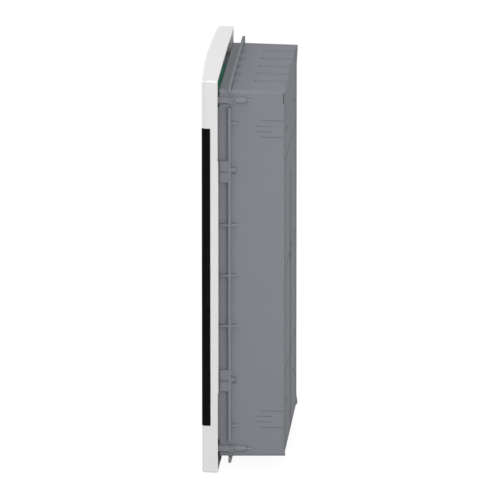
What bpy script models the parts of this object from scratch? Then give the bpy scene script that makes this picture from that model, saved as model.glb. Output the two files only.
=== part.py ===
# Flush-mounting distribution enclosure: recess box, bowed cover, smoked door, rails and terminals.
# Frame: +X to the right seen from the front, +Y into the wall, +Z up; metres.
# Origin: centre of the pad in the middle of the box's rear face.
import math

import bmesh
import bpy

for old in list(bpy.data.objects):
    bpy.data.objects.remove(old, do_unlink=True)

MM = 0.001
SHARP = math.radians(35)

# Driving sizes: devices and rows
MODULES = 12
MODULE_W = 18.0 * MM
ROWS = 3
ROW_PITCH = 125.0 * MM
SIDE_SPACE = 8.0 * MM
END_SPACE = 100.5 * MM
WINDOW_H = 46.0 * MM

# Driving sizes: recess box
BOX_WALL = 2.2 * MM
BOX_FLOOR = 2.4 * MM
BOX_DRAFT = 1.0 * MM
BOX_ROUND = 1.2 * MM
RECESS = 78.0 * MM
FOOT = 1.2 * MM
FLANGE_SET = 10.8 * MM
FLANGE_T = 3.3 * MM
FLANGE_REACH = 6.2 * MM
SIDE_LIP = 2.6 * MM
RIB_PITCH = 62.0 * MM
RIB_T = 2.3 * MM
BLOCK_OFF = 4.5 * MM
BLOCK_H = 26.0 * MM
BLOCK_SPLIT = 2.0 * MM
BLOCK_MID = 1.7 * MM
RIB_MID = 0.7 * MM
END_GUSSET_IN = 39.5 * MM
KNOCK_W = 20.2 * MM
END_KNOCK_W = 5.2 * MM
KNOCK_PITCH = 36.2 * MM
KNOCK_START = 39.0 * MM
KNOCK_SHIFT = -4.5 * MM
END_KNOCK_LINE = 1.4 * MM
END_KNOCK_DEEP = 1.5 * MM
SIDE_SCORE = 1.0 * MM
SIDE_SCORE_DEEP = 0.7 * MM
SIDE_KNOCK_IN = 47.0 * MM
WALL_SLOT_IN_X = 54.0 * MM
WALL_SLOT_IN_Z = 57.5 * MM

# Driving sizes: cover and door
OVERLAP_X = 19.0 * MM
OVERLAP_Z = 15.5 * MM
COVER_EDGE = 19.8 * MM
COVER_BOW = 4.1 * MM
COVER_SKIN = 2.4 * MM
COVER_ROUND = 5.0 * MM
SHOULDER = 58.3 * MM
LEDGE = 9.4 * MM
DOOR_SKIN = 2.4 * MM
DOOR_GAP = 0.5 * MM
GRIP_H = 74.0 * MM

# Driving sizes: screws, rails and terminals
COVER_SCREW_R = 1.6 * MM
SCREW_OUT = 1.0 * MM
SCREW_IN = 10.5 * MM
SCREW_LOWER = 1.6 * MM
RAIL_DROP = 48.0 * MM
RAIL_DEEP = 7.5 * MM
RAIL_T = 1.0 * MM
RAIL_SLOT_PITCH = 25.0 * MM
SHEET = 1.5 * MM
PILLAR = 7.5 * MM
BAR_CLAMPS = 8
CLAMP_PITCH = 15.0 * MM
CARRIER_L = 134.6 * MM

# Fits: one value for each kind of gap
SEAT = 0.3 * MM
PIN_FIT = 0.3 * MM
SCREW_FIT = 0.4 * MM

# Derived sizes
BOX_W = MODULES * MODULE_W + 2 * SIDE_SPACE
BOX_H = (ROWS - 1) * ROW_PITCH + 2 * END_SPACE
COVER_W = BOX_W + 2 * OVERLAP_X
COVER_H = BOX_H + 2 * OVERLAP_Z
DOOR_H = COVER_H - 2 * SHOULDER
HALF_W = BOX_W / 2
HALF_H = BOX_H / 2
Y_FLOOR_OUT = -FOOT
Y_FLOOR_IN = -FOOT - BOX_FLOOR
Y_WALL = -RECESS
Y_FRONT = Y_WALL - COVER_EDGE
Y_LEDGE = Y_WALL - LEDGE
Y_FLANGE = Y_WALL + FLANGE_SET
Y_FLANGE_BACK = Y_FLANGE + FLANGE_T
SHOULDER_Z = COVER_H / 2 - SHOULDER
DOOR_Z = SHOULDER_Z - DOOR_GAP
DOOR_BACK = Y_LEDGE - DOOR_GAP
HINGE_R = (DOOR_BACK - Y_FRONT) / 2
HINGE_X = -COVER_W / 2 + HINGE_R
HINGE_Y = DOOR_BACK - HINGE_R
SCREW_X = HALF_W + SCREW_OUT
SCREW_Z = {1: HALF_H - SCREW_IN - SCREW_LOWER, -1: SCREW_IN - HALF_H}
RAIL_FRONT = Y_LEDGE + RAIL_DROP
RAIL_BACK = RAIL_FRONT + RAIL_DEEP
UPRIGHT_FRONT = RAIL_BACK + SEAT
PILLAR_TOP = Y_FLOOR_IN - PILLAR
UPRIGHT_BACK = PILLAR_TOP - SEAT
UPRIGHT_X = HALF_W - 6.0 * MM
UPRIGHT_FLANGE = 18.0 * MM
UPRIGHT_Z = HALF_H - 9.5 * MM
FIX_X = UPRIGHT_X - 10.0 * MM
CHASSIS_Z = HALF_H - 35.5 * MM
SUPPORT_Z = HALF_H - 16.5 * MM
BLOCK_Z = ROW_PITCH + BLOCK_OFF
END_GUSSET_Z = HALF_H - END_GUSSET_IN
WALL_SLOT_X = HALF_W - WALL_SLOT_IN_X
WALL_SLOT_Z = HALF_H - WALL_SLOT_IN_Z
ROW_Z = [((ROWS - 1) / 2 - i) * ROW_PITCH for i in range(ROWS)]


def box(lo, hi):
    """A block between two corners, as vertices and faces."""
    x0, y0, z0 = lo
    x1, y1, z1 = hi
    verts = [(x0, y0, z0), (x1, y0, z0), (x1, y1, z0), (x0, y1, z0)]
    verts += [(x0, y0, z1), (x1, y0, z1), (x1, y1, z1), (x0, y1, z1)]
    faces = [(3, 2, 1, 0), (4, 5, 6, 7), (0, 1, 5, 4), (1, 2, 6, 5), (2, 3, 7, 6), (3, 0, 4, 7)]
    return verts, faces


def loft(rings):
    """A closed skin through rings of equal count, with a flat cap at each end."""
    n = len(rings[0])
    verts = [p for ring in rings for p in ring]
    faces = [tuple(range(n))[::-1]]
    for k in range(len(rings) - 1):
        for i in range(n):
            j = (i + 1) % n
            faces.append((k * n + i, k * n + j, (k + 1) * n + j, (k + 1) * n + i))
    last = (len(rings) - 1) * n
    faces.append(tuple(range(last, last + n)))
    return verts, faces


def prism(points, lo, hi, axis):
    """A flat outline pushed along one axis: (x, y) along Z, (y, z) along X, (x, z) along Y."""
    place = {"Z": lambda a, b, c: (a, b, c), "X": lambda a, b, c: (c, a, b), "Y": lambda a, b, c: (a, c, b)}
    put = place[axis]
    return loft([[put(a, b, c) for a, b in points] for c in (lo, hi)])


def turned(profile, centre, axis, sides):
    """A round solid from (radius, along) pairs that start and end at radius zero or with a flat."""
    cx, cy, cz = centre
    place = {
        "Y": lambda u, v, t: (cx + u, t, cz + v),
        "Z": lambda u, v, t: (cx + u, cy + v, t),
        "X": lambda u, v, t: (t, cy + u, cz + v),
    }
    put = place[axis]
    rings = []
    for r, t in profile:
        ring = []
        for i in range(sides):
            a = 2 * math.pi * (i + 0.5) / sides
            ring.append(put(r * math.cos(a), r * math.sin(a), t))
        rings.append(ring)
    return loft(rings)


def rod(r, lo, hi, centre, axis="Y", sides=16):
    """A plain round bar."""
    return turned([(r, lo), (r, hi)], centre, axis, sides)


def gather(solids):
    """Several separate solids in one mesh, used for cutters and additions."""
    verts = []
    faces = []
    for v, f in solids:
        base = len(verts)
        verts += v
        faces += [tuple(i + base for i in face) for face in f]
    return verts, faces


def strip(outer, inner, closed, place, low, high):
    """A ribbon between two polylines of equal count, raised from low to high by place(u, y, h)."""
    n = len(outer)
    verts = []
    for h in (low, high):
        verts += [place(u, y, h) for u, y in outer]
        verts += [place(u, y, h) for u, y in inner]
    faces = []
    steps = n if closed else n - 1
    for i in range(steps):
        j = (i + 1) % n
        faces.append((i, j, n + j, n + i))
        faces.append((2 * n + i, 3 * n + i, 3 * n + j, 2 * n + j))
        faces.append((i, 2 * n + i, 2 * n + j, j))
        faces.append((n + i, n + j, 3 * n + j, 3 * n + i))
    if not closed:
        faces.append((0, n, 3 * n, 2 * n))
        faces.append((n - 1, 3 * n - 1, 4 * n - 1, 2 * n - 1))
    return verts, faces


def raw(name, solid, origin=(0.0, 0.0, 0.0)):
    """A mesh object from vertices and faces, all faces turned outward, its origin where asked."""
    verts, faces = solid
    ox, oy, oz = origin
    mesh = bpy.data.meshes.new(name)
    mesh.from_pydata([(x - ox, y - oy, z - oz) for x, y, z in verts], [], faces)
    bm = bmesh.new()
    bm.from_mesh(mesh)
    bmesh.ops.recalc_face_normals(bm, faces=bm.faces)
    bm.to_mesh(mesh)
    bm.free()
    mesh.shade_smooth()
    mesh.set_sharp_from_angle(angle=SHARP)
    obj = bpy.data.objects.new(name, mesh)
    obj.location = origin
    bpy.context.scene.collection.objects.link(obj)
    return obj


def make(name, solid, colour, rough=0.5, metal=0.0, origin=(0.0, 0.0, 0.0)):
    """One piece of the part with its own material."""
    obj = raw(name, solid, origin)
    mat = bpy.data.materials.new(name + "_finish")
    mat.use_nodes = True
    skin = mat.node_tree.nodes["Principled BSDF"]
    skin.inputs["Base Color"].default_value = (*colour, 1.0)
    skin.inputs["Roughness"].default_value = rough
    skin.inputs["Metallic"].default_value = metal
    obj.data.materials.append(mat)
    return obj


def shape(obj, solids, operation, tag):
    """Adds or cuts a group of solids on a piece through one exact Boolean."""
    tool = raw(obj.name + "_" + tag, gather(solids))
    tool.hide_render = True
    tool.display_type = "WIRE"
    mod = obj.modifiers.new(tag, "BOOLEAN")
    mod.operation = operation
    mod.solver = "EXACT"
    mod.use_self = operation == "UNION"
    mod.object = tool


def add(obj, solids, tag):
    shape(obj, solids, "UNION", tag)


def cut(obj, solids, tag):
    shape(obj, solids, "DIFFERENCE", tag)


GREY = (0.215, 0.222, 0.245)
WHITE = (0.78, 0.78, 0.77)
SMOKE = (0.010, 0.010, 0.012)
ZINC = (0.62, 0.63, 0.65)
BRASS = (0.72, 0.52, 0.22)
GREEN = (0.015, 0.085, 0.045)
BLUE = (0.03, 0.10, 0.35)


# Recess box
def narrowing(y):
    """How far the outside has drawn in at depth y: straight up to the flange, then drafted to the back."""
    return BOX_DRAFT * max(0.0, y - Y_FLANGE_BACK) / (Y_FLOOR_OUT - Y_FLANGE_BACK)


def wall_x(y):
    """Half width of the box outside at depth y."""
    return HALF_W - narrowing(y)


def wall_z(y):
    """Half height of the box outside at depth y."""
    return HALF_H - narrowing(y)


def round_ring(half_x, half_z, r, y, steps=3):
    """A rounded rectangle at depth y."""
    ring = []
    for cx, cz, a0 in ((1, 1, 0), (-1, 1, 90), (-1, -1, 180), (1, -1, 270)):
        for i in range(steps + 1):
            a = math.radians(a0 + 90 * i / steps)
            ring.append((cx * (half_x - r) + r * math.cos(a), y, cz * (half_z - r) + r * math.sin(a)))
    return ring


EDGE_SOFT = 0.5 * MM
y_soft = Y_FLOOR_OUT - EDGE_SOFT
shell = [round_ring(wall_x(y), wall_z(y), BOX_ROUND, y) for y in (Y_WALL, Y_FLANGE_BACK, y_soft)]
shell.append(round_ring(wall_x(0) - EDGE_SOFT, wall_z(0) - EDGE_SOFT, BOX_ROUND, Y_FLOOR_OUT))
back_box = make("back_box", loft(shell), GREY, 0.55)
INNER_ROUND = 1.5 * MM
mouth = Y_WALL - 2 * MM
hollow = [
    round_ring(wall_x(y) - BOX_WALL, wall_z(y) - BOX_WALL, INNER_ROUND, y)
    for y in (mouth, Y_FLANGE_BACK, Y_FLOOR_IN)
]
cut(back_box, [loft(hollow)], "hollow")


def knock_path(u0, r, off):
    """The U line of a knock-out: up one side, round the front, down the other side."""
    centre_y = Y_WALL + KNOCK_START + r
    path = [(u0 - r - off, 1 * MM)]
    for i in range(11):
        a = math.pi + math.pi * i / 10
        path.append((u0 + (r + off) * math.cos(a), centre_y + (r + off) * math.sin(a)))
    path.append((u0 + r + off, 1 * MM))
    return path


def on_end(sign):
    return lambda u, y, h: (u, y, sign * (wall_z(y) + h))


def on_side(sign):
    return lambda u, y, h: (sign * (wall_x(y) + h), y, u)


SIDE_KNOCK_Z = HALF_H - SIDE_KNOCK_IN
SCORE_Y = Y_WALL + 49.0 * MM
SLOT_SCORE_HALF = 3.4 * MM
SLOT_SCORE_Y = (Y_WALL + 42.8 * MM, Y_WALL + 61.9 * MM)
END_EDGES = (END_KNOCK_LINE / 2, -END_KNOCK_LINE / 2)
lines = []
for sign in (1, -1):
    for k in range(-2, 3):
        spot = k * KNOCK_PITCH + KNOCK_SHIFT
        ways = [knock_path(spot, END_KNOCK_W / 2, d) for d in END_EDGES]
        lines.append(strip(ways[0], ways[1], False, on_end(sign), -END_KNOCK_DEEP, MM))
    for spot in (SIDE_KNOCK_Z, -SIDE_KNOCK_Z):
        scores = [(spot + d * KNOCK_W / 2, SCORE_Y, MM) for d in (1, -1)]
        scores += [(spot + d * SLOT_SCORE_HALF, *SLOT_SCORE_Y) for d in (1, -1)]
        for z, y0, y1 in scores:
            ways = [[(z + d * SIDE_SCORE / 2, y0), (z + d * SIDE_SCORE / 2, y1)] for d in (1, -1)]
            lines.append(strip(ways[0], ways[1], False, on_side(sign), -SIDE_SCORE_DEEP, MM))

# Shallow moulding lines on the back
BACK_LINE = 1.0 * MM
BACK_DEEP = 0.8 * MM
BACK_MARGIN = 14.0 * MM
SPINE_LINE = 2.5 * MM
SPINE_TOP = 31.0 * MM
SPINE_FOOT = 6.0 * MM
BACK_RISE = 10.0 * MM
back_z = [ROW_Z[0] + BACK_RISE] + ROW_Z[1:]
for z in back_z:
    lo = (-HALF_W + BACK_MARGIN, Y_FLOOR_OUT - BACK_DEEP, z - BACK_LINE)
    hi = (HALF_W - BACK_MARGIN, 2 * MM, z + BACK_LINE)
    lines.append(box(lo, hi))
spine_tops = [ROW_Z[0] - SPINE_TOP] + [z - 2 * BACK_LINE for z in ROW_Z[1:]]
spine_ends = [z + 2 * BACK_LINE for z in ROW_Z[1:]] + [SPINE_FOOT - HALF_H]
for high, low in zip(spine_tops, spine_ends):
    lines.append(box((-SPINE_LINE, Y_FLOOR_OUT - BACK_DEEP, low), (SPINE_LINE, 2 * MM, high)))

# Slots in the floor for wall screws
SLOT_HALF = 2.6 * MM
SLOT_RUN = 5.0 * MM
for sx in (1, -1):
    for sz in (1, -1):
        ring = []
        for cx, a0 in ((SLOT_RUN, -90), (-SLOT_RUN, 90)):
            for i in range(5):
                a = math.radians(a0 + 180 * i / 4)
                spot_x = sx * WALL_SLOT_X + cx + SLOT_HALF * math.cos(a)
                ring.append((spot_x, sz * WALL_SLOT_Z + SLOT_HALF * math.sin(a)))
        lines.append(prism(ring, Y_FLOOR_IN - MM, MM, "Y"))
cut(back_box, lines, "lines")

# Flange, collar ribs, gussets, screw bosses, feet and floor pillars
BITE = 0.9 * MM
FLANGE_X = HALF_W + FLANGE_REACH
FLANGE_Z = HALF_H + FLANGE_REACH
SIDE_FLANGE_Z = HALF_H - 20.5 * MM
RIB_OUT = FLANGE_REACH - 0.6 * MM
RIB_SHY = 0.4 * MM
RIB_Z = [z - RIB_MID for z in (RIB_PITCH, 0.0, -RIB_PITCH)]
SPLIT_DEEP = 1.4 * MM
GUSSET_RUN = 10.6 * MM
SHORT_GUSSET_RUN = 6.0 * MM
SHORT_GUSSET_T = 3.6 * MM
END_GUSSET_RUN = 8.0 * MM
GUSSET_SHY = 0.7 * MM
GUSSET_LIP = 0.8 * MM
LIP_Z = HALF_H - 21.0 * MM
LIP_SHY = 0.2 * MM
extra = []
for s in (1, -1):
    z_in = s * (wall_z(Y_FLANGE_BACK) - BITE)
    z_pair = sorted((z_in, s * FLANGE_Z))
    extra.append(box((-FLANGE_X, Y_FLANGE, z_pair[0]), (FLANGE_X, Y_FLANGE_BACK, z_pair[1])))
    x_in = s * (wall_x(Y_FLANGE_BACK) - BITE)
    x_pair = sorted((x_in, s * FLANGE_X))
    extra.append(box((x_pair[0], Y_FLANGE, -SIDE_FLANGE_Z), (x_pair[1], Y_FLANGE_BACK, SIDE_FLANGE_Z)))
    x_pair = sorted((s * (HALF_W - BOX_WALL + LIP_SHY), s * (HALF_W - LIP_SHY)))
    extra.append(box((x_pair[0], Y_WALL - SIDE_LIP, -LIP_Z), (x_pair[1], Y_WALL + BITE, LIP_Z)))
add(back_box, extra, "flange")

ribs = []
for s in (1, -1):
    inner = s * (wall_x(Y_FLANGE_BACK + 12 * MM) - BITE)
    outer = s * (HALF_W + RIB_OUT)
    x_pair = sorted((inner, outer))
    spans = [(z - RIB_T / 2, z + RIB_T / 2) for z in RIB_Z]
    split_x = sorted((inner, outer - s * SPLIT_DEEP))
    for z in (BLOCK_Z - MM - BLOCK_MID, MM - BLOCK_Z - BLOCK_MID):
        for side in (1, -1):
            spans.append(sorted((z + side * BLOCK_SPLIT / 2, z + side * BLOCK_H / 2)))
        lo = (split_x[0], Y_WALL + RIB_SHY, z - BLOCK_SPLIT)
        hi = (split_x[1], Y_FLANGE + BITE, z + BLOCK_SPLIT)
        ribs.append(box(lo, hi))
    for z0, z1 in spans:
        ribs.append(box((x_pair[0], Y_WALL + RIB_SHY, z0), (x_pair[1], Y_FLANGE + BITE, z1)))
    gussets = [(z, GUSSET_RUN, RIB_T) for z in RIB_Z + [END_GUSSET_Z, -END_GUSSET_Z]]
    gussets += [(z, SHORT_GUSSET_RUN, SHORT_GUSSET_T) for z in (BLOCK_Z, -BLOCK_Z)]
    for z, run, thick in gussets:
        tri = [
            (inner, Y_FLANGE_BACK - BITE),
            (s * (FLANGE_X - GUSSET_SHY), Y_FLANGE_BACK - BITE),
            (s * (FLANGE_X - GUSSET_SHY), Y_FLANGE_BACK + GUSSET_LIP),
            (s * wall_x(Y_FLANGE_BACK + run), Y_FLANGE_BACK + run),
            (inner, Y_FLANGE_BACK + run),
        ]
        ribs.append(prism(tri, z - thick / 2, z + thick / 2, "Z"))
    z_inner = s * (wall_z(Y_FLANGE_BACK + 12 * MM) - BITE)
    for k in range(-2, 3):
        x = k * KNOCK_PITCH
        tri = [
            (Y_FLANGE_BACK - BITE, z_inner),
            (Y_FLANGE_BACK - BITE, s * (FLANGE_Z - GUSSET_SHY)),
            (Y_FLANGE_BACK + GUSSET_LIP, s * (FLANGE_Z - GUSSET_SHY)),
            (Y_FLANGE_BACK + END_GUSSET_RUN, s * wall_z(Y_FLANGE_BACK + END_GUSSET_RUN)),
            (Y_FLANGE_BACK + END_GUSSET_RUN, z_inner),
        ]
        ribs.append(prism(tri, x - RIB_T / 2, x + RIB_T / 2, "X"))
add(back_box, ribs, "ribs")

BOSS_H = 8.0 * MM
BOSS_IN = 4.2 * MM
BOSS_OUT = 3.4 * MM
NOTCH_H = 5.2 * MM
FOOT_W = {1: 19.8 * MM, -1: 5.0 * MM}
FOOT_EDGE = 1.0 * MM
FOOT_FLAT = 2.0 * MM
FOOT_RUN = {1: 24.0 * MM, -1: 11.0 * MM}
NOTCH_DEEP = 1.3 * MM
PILLAR_R = 4.5 * MM
PAD_R = 9.0 * MM
CHASSIS_SCREW_R = 1.3 * MM
BOSS_END = Y_WALL + 20.1 * MM
TONGUE_END = Y_WALL + 32.1 * MM
TONGUE_R = 3.8 * MM
BOSS_FRONT = Y_WALL - 2.3 * MM
SLIT_DEEP = 2.4 * MM
SLIT_H = 13.0 * MM
SLIT_FROM = 3.0 * MM
bosses = []
for sx in (1, -1):
    for sz in (1, -1):
        x_pair = sorted((sx * (SCREW_X - BOSS_IN), sx * (SCREW_X + BOSS_OUT)))
        z0 = SCREW_Z[sz]
        lo = (x_pair[0], BOSS_FRONT, z0 - BOSS_H / 2)
        hi = (x_pair[1], BOSS_END, z0 + BOSS_H / 2)
        bosses.append(box(lo, hi))
        at = (sx * SCREW_X, 0.0, z0)
        bosses.append(rod(TONGUE_R, BOSS_END - MM, TONGUE_END, at, "Y", 16))
        foot_x = sorted((sx * (HALF_W - FOOT_EDGE - FOOT_W[sz]), sx * (HALF_W - FOOT_EDGE)))
        top = sz * (HALF_H - FOOT_EDGE)
        wedge = [
            (Y_FLOOR_OUT - BITE, top),
            (0.0, top),
            (0.0, top - sz * FOOT_FLAT),
            (Y_FLOOR_OUT, top - sz * FOOT_RUN[sz]),
            (Y_FLOOR_OUT - BITE, top - sz * FOOT_RUN[sz]),
        ]
        bosses.append(prism(wedge, foot_x[0], foot_x[1], "X"))
        at = (sx * FIX_X, 0.0, sz * CHASSIS_Z)
        bosses.append(rod(PILLAR_R, PILLAR_TOP, Y_FLOOR_IN + BITE, at, "Y", 14))
bosses.append(rod(PAD_R, Y_FLOOR_OUT - BITE, 0.0, (0.0, 0.0, 0.0), "Y", 32))
add(back_box, bosses, "bosses")

bores = []
for sx in (1, -1):
    for sz in (1, -1):
        at = (sx * SCREW_X, 0.0, SCREW_Z[sz])
        bores.append(rod(COVER_SCREW_R + SCREW_FIT, BOSS_FRONT - MM, TONGUE_END + MM, at, "Y", 12))
        x_pair = sorted((sx * (SCREW_X + BOSS_OUT - NOTCH_DEEP), sx * (SCREW_X + 8 * MM)))
        z0 = SCREW_Z[sz]
        lo = (x_pair[0], Y_FLANGE + 0.6 * MM, z0 - NOTCH_H / 2)
        hi = (x_pair[1], BOSS_END - 1.4 * MM, z0 + NOTCH_H / 2)
        bores.append(box(lo, hi))
        if sz > 0:
            x_pair = sorted((sx * (wall_x(0) - SLIT_DEEP), sx * (HALF_W + MM)))
            lo = (x_pair[0], Y_FLOOR_OUT - 1.3 * MM, HALF_H - SLIT_FROM - SLIT_H)
            bores.append(box(lo, (x_pair[1], Y_FLOOR_OUT + 0.05 * MM, HALF_H - SLIT_FROM)))
        at = (sx * FIX_X, 0.0, sz * CHASSIS_Z)
        bores.append(rod(CHASSIS_SCREW_R + SCREW_FIT, PILLAR_TOP - MM, Y_FLOOR_IN - 0.4 * MM, at, "Y", 10))
cut(back_box, bores, "bores")


# Front cover
def front_y(x):
    """Depth of the bowed front at x: a shallow parabola across the width."""
    return Y_FRONT - COVER_BOW * (1 - (2 * x / COVER_W) ** 2)


def plan(inset, back, steps=14, corner=5, round_left=True):
    """Outline of the cover seen from above, set in by inset, open edge at back."""
    xl = COVER_W / 2 - inset
    r = max(COVER_ROUND - inset, 0.8 * MM)
    yc = front_y(xl - r) + inset + r
    pts = [(-xl, back)]
    for i in range(corner + 1):
        a = math.pi + math.pi / 2 * i / corner
        pts.append((-xl + r + r * math.cos(a), yc + r * math.sin(a)))
    for i in range(1, steps):
        x = (-xl + r) + 2 * (xl - r) * i / steps
        pts.append((x, front_y(x) + inset))
    for i in range(corner + 1):
        a = -math.pi / 2 + math.pi / 2 * i / corner
        pts.append((xl - r + r * math.cos(a), yc + r * math.sin(a)))
    pts.append((xl, back))
    return pts


def ring_at(inset, back, z):
    return [(x, y, z) for x, y in plan(inset, back)]


TOP = COVER_H / 2
END_SOFT = 1.6 * MM
caps = []
for s in (1, -1):
    rings = [
        ring_at(0.0, Y_WALL, s * SHOULDER_Z),
        ring_at(0.0, Y_WALL, s * (TOP - END_SOFT)),
        ring_at(0.45 * END_SOFT, Y_WALL, s * (TOP - 0.3 * END_SOFT)),
        ring_at(END_SOFT, Y_WALL, s * TOP),
    ]
    caps.append(loft(rings))
front_cover = make("front_cover", caps[0], WHITE, 0.4)
slab = box((-COVER_W / 2, Y_LEDGE, -SHOULDER_Z - MM), (COVER_W / 2, Y_WALL, SHOULDER_Z + MM))
add(front_cover, [caps[1], slab], "body")
voids = []
for s in (1, -1):
    rings = [
        ring_at(COVER_SKIN, Y_WALL + MM, s * (SHOULDER_Z + COVER_SKIN)),
        ring_at(COVER_SKIN, Y_WALL + MM, s * (TOP - COVER_SKIN)),
    ]
    voids.append(loft(rings))
FACE_BACK = Y_LEDGE + COVER_SKIN
half = COVER_W / 2 - COVER_SKIN
reach = SHOULDER_Z + 2 * COVER_SKIN
mid_void = box((-half, FACE_BACK, -reach), (half, Y_WALL + 2 * MM, reach))
cut(front_cover, voids, "end_hollows")
cut(front_cover, [mid_void], "middle_hollow")

CUP_FLOOR = Y_FRONT + 6.8 * MM
CUP_R = 4.4 * MM
POST_R = 5.5 * MM
CATCH_X = COVER_W / 2 - 8.0 * MM
CATCH_Y = FACE_BACK + 3.5 * MM
CATCH_PIN_R = 0.9 * MM
CATCH_SLOT = 6.3 * MM
EAR_T = 3.0 * MM
EAR_HALF = 4.0 * MM
posts = []
for sx in (1, -1):
    for sz in (1, -1):
        at = (sx * SCREW_X, 0.0, SCREW_Z[sz])
        posts.append(rod(POST_R, front_y(SCREW_X) + 1.2 * MM, BOSS_FRONT - SEAT, at, "Y", 24))
for s in (1, -1):
    pair = sorted((s * (SHOULDER_Z + 0.8 * MM), s * (SHOULDER_Z + 10 * MM)))
    posts.append(rod(HINGE_R - 0.7 * MM, pair[0], pair[1], (HINGE_X, HINGE_Y, 0.0), "Z", 20))
    pair = sorted((s * CATCH_SLOT, s * (CATCH_SLOT + EAR_T)))
    lo = (CATCH_X - EAR_HALF, FACE_BACK - MM, pair[0])
    hi = (CATCH_X + EAR_HALF, CATCH_Y + 2.6 * MM, pair[1])
    posts.append(box(lo, hi))
add(front_cover, posts, "posts")

WINDOW_W = MODULES * MODULE_W + 2 * MM
holes = []
for z in ROW_Z:
    lo = (-WINDOW_W / 2, Y_LEDGE - MM, z - WINDOW_H / 2)
    hi = (WINDOW_W / 2, FACE_BACK + MM, z + WINDOW_H / 2)
    holes.append(box(lo, hi))
for sx in (1, -1):
    for sz in (1, -1):
        at = (sx * SCREW_X, 0.0, SCREW_Z[sz])
        steps = [
            (CUP_R, front_y(0.0) - 2 * MM),
            (CUP_R, CUP_FLOOR),
            (COVER_SCREW_R + SCREW_FIT, CUP_FLOOR),
            (COVER_SCREW_R + SCREW_FIT, Y_WALL + MM),
        ]
        holes.append(turned(steps, at, "Y", 24))
PIN_R = 1.5 * MM
for s in (1, -1):
    pair = sorted((s * (SHOULDER_Z - MM), s * (SHOULDER_Z + 9 * MM)))
    holes.append(rod(PIN_R + PIN_FIT, pair[0], pair[1], (HINGE_X, HINGE_Y, 0.0), "Z", 20))
lo = (CATCH_X - 4.6 * MM, Y_LEDGE - MM, -CATCH_SLOT)
hi = (CATCH_X + 3.6 * MM, FACE_BACK + MM, CATCH_SLOT)
holes.append(box(lo, hi))
ear = CATCH_SLOT + 2 * EAR_T
holes.append(rod(CATCH_PIN_R + PIN_FIT, -ear, ear, (CATCH_X, CATCH_Y, 0.0), "Z", 16))
RIM_STEP = 0.8 * MM
RIM_LONG = BLOCK_Z + 12.5 * MM
for s in (1, -1):
    pair = sorted((s * RIM_LONG, s * (TOP + MM)))
    for sx in (1, -1):
        x_pair = sorted((sx * (COVER_W / 2 - COVER_SKIN - MM), sx * (COVER_W / 2 + MM)))
        holes.append(box((x_pair[0], Y_WALL - RIM_STEP, pair[0]), (x_pair[1], Y_WALL + MM, pair[1])))
    pair = sorted((s * (TOP - COVER_SKIN - MM), s * (TOP + MM)))
    x_in = COVER_W / 2 - COVER_SKIN - 1.5 * MM
    holes.append(box((-x_in, Y_WALL - RIM_STEP, pair[0]), (x_in, Y_WALL + MM, pair[1])))
cut(front_cover, holes, "holes")

# Door: bowed front, flat return on the right, half-round hinge edge on the left
outer = []
right = COVER_W / 2
r = COVER_ROUND
yc = front_y(right - r) + r
outer.append((right, DOOR_BACK))
for i in range(6):
    a = -math.pi / 2 * i / 5
    outer.append((right - r + r * math.cos(a), yc + r * math.sin(a)))
for i in range(1, 14):
    x = (right - r) + (HINGE_X - (right - r)) * i / 14
    outer.append((x, front_y(x)))
HALF_ROUND = [math.radians(-90 - 180 * i / 12) for i in range(13)]
outer.append((HINGE_X + 3.0 * MM, front_y(HINGE_X + 3.0 * MM)))
for a in HALF_ROUND:
    outer.append((HINGE_X + HINGE_R * math.cos(a), HINGE_Y + HINGE_R * math.sin(a)))
core = HINGE_R - DOOR_SKIN
inner = []
for a in reversed(HALF_ROUND):
    inner.append((HINGE_X + core * math.cos(a), HINGE_Y + core * math.sin(a)))
for i in range(1, 15):
    x = HINGE_X + ((right - r) - HINGE_X) * i / 14
    inner.append((x, front_y(x) + DOOR_SKIN))
ri = r - DOOR_SKIN
for i in range(6):
    a = -math.pi / 2 + math.pi / 2 * i / 5
    inner.append((right - r + ri * math.cos(a), yc + ri * math.sin(a)))
inner.append((right - DOOR_SKIN, DOOR_BACK))
HINGE_AT = (HINGE_X, HINGE_Y, 0.0)
door = make("door", prism(outer + inner, -DOOR_Z, DOOR_Z, "Z"), SMOKE, 0.12, 0.0, HINGE_AT)
ends = []
END_BACK = Y_FRONT + 6.0 * MM
for s in (1, -1):
    pair = sorted((s * (DOOR_Z - DOOR_SKIN), s * DOOR_Z))
    end = [(right - MM, END_BACK)]
    for i in range(16):
        x = (right - r) + (HINGE_X + MM - (right - r)) * i / 15
        end.append((x, front_y(x) + 0.5 * DOOR_SKIN))
    end.append((HINGE_X + MM, END_BACK))
    ends.append(prism(end, pair[0], pair[1], "Z"))
    pair = sorted((s * (DOOR_Z - 14 * MM), s * DOOR_Z))
    ends.append(rod(HINGE_R - 0.05 * MM, pair[0], pair[1], HINGE_AT, "Z", 24))
NIB = 1.9 * MM
lo = (right - DOOR_SKIN - NIB, DOOR_BACK - 2.1 * MM, -5.0 * MM)
hi = (right - 0.5 * DOOR_SKIN, DOOR_BACK - 0.5 * MM, 5.0 * MM)
ends.append(box(lo, hi))
add(door, ends, "ends")
carve = []
for s in (1, -1):
    pair = sorted((s * (DOOR_Z - 12 * MM), s * (DOOR_Z + MM)))
    carve.append(rod(PIN_R + PIN_FIT, pair[0], pair[1], HINGE_AT, "Z", 20))
GRIP_DEEP = 1.3 * MM
lo = (right - GRIP_DEEP, DOOR_BACK - 7.4 * MM, -GRIP_H / 2)
hi = (right + MM, DOOR_BACK - 2.4 * MM, GRIP_H / 2)
carve.append(box(lo, hi))
cut(door, carve, "carve")

for name, s in (("hinge_pin_top", 1), ("hinge_pin_bottom", -1)):
    pair = sorted((s * (DOOR_Z - 11 * MM), s * (SHOULDER_Z + 8.5 * MM)))
    make(name, rod(PIN_R, pair[0], pair[1], HINGE_AT, "Z", 20), ZINC, 0.3, 1.0)

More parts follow.
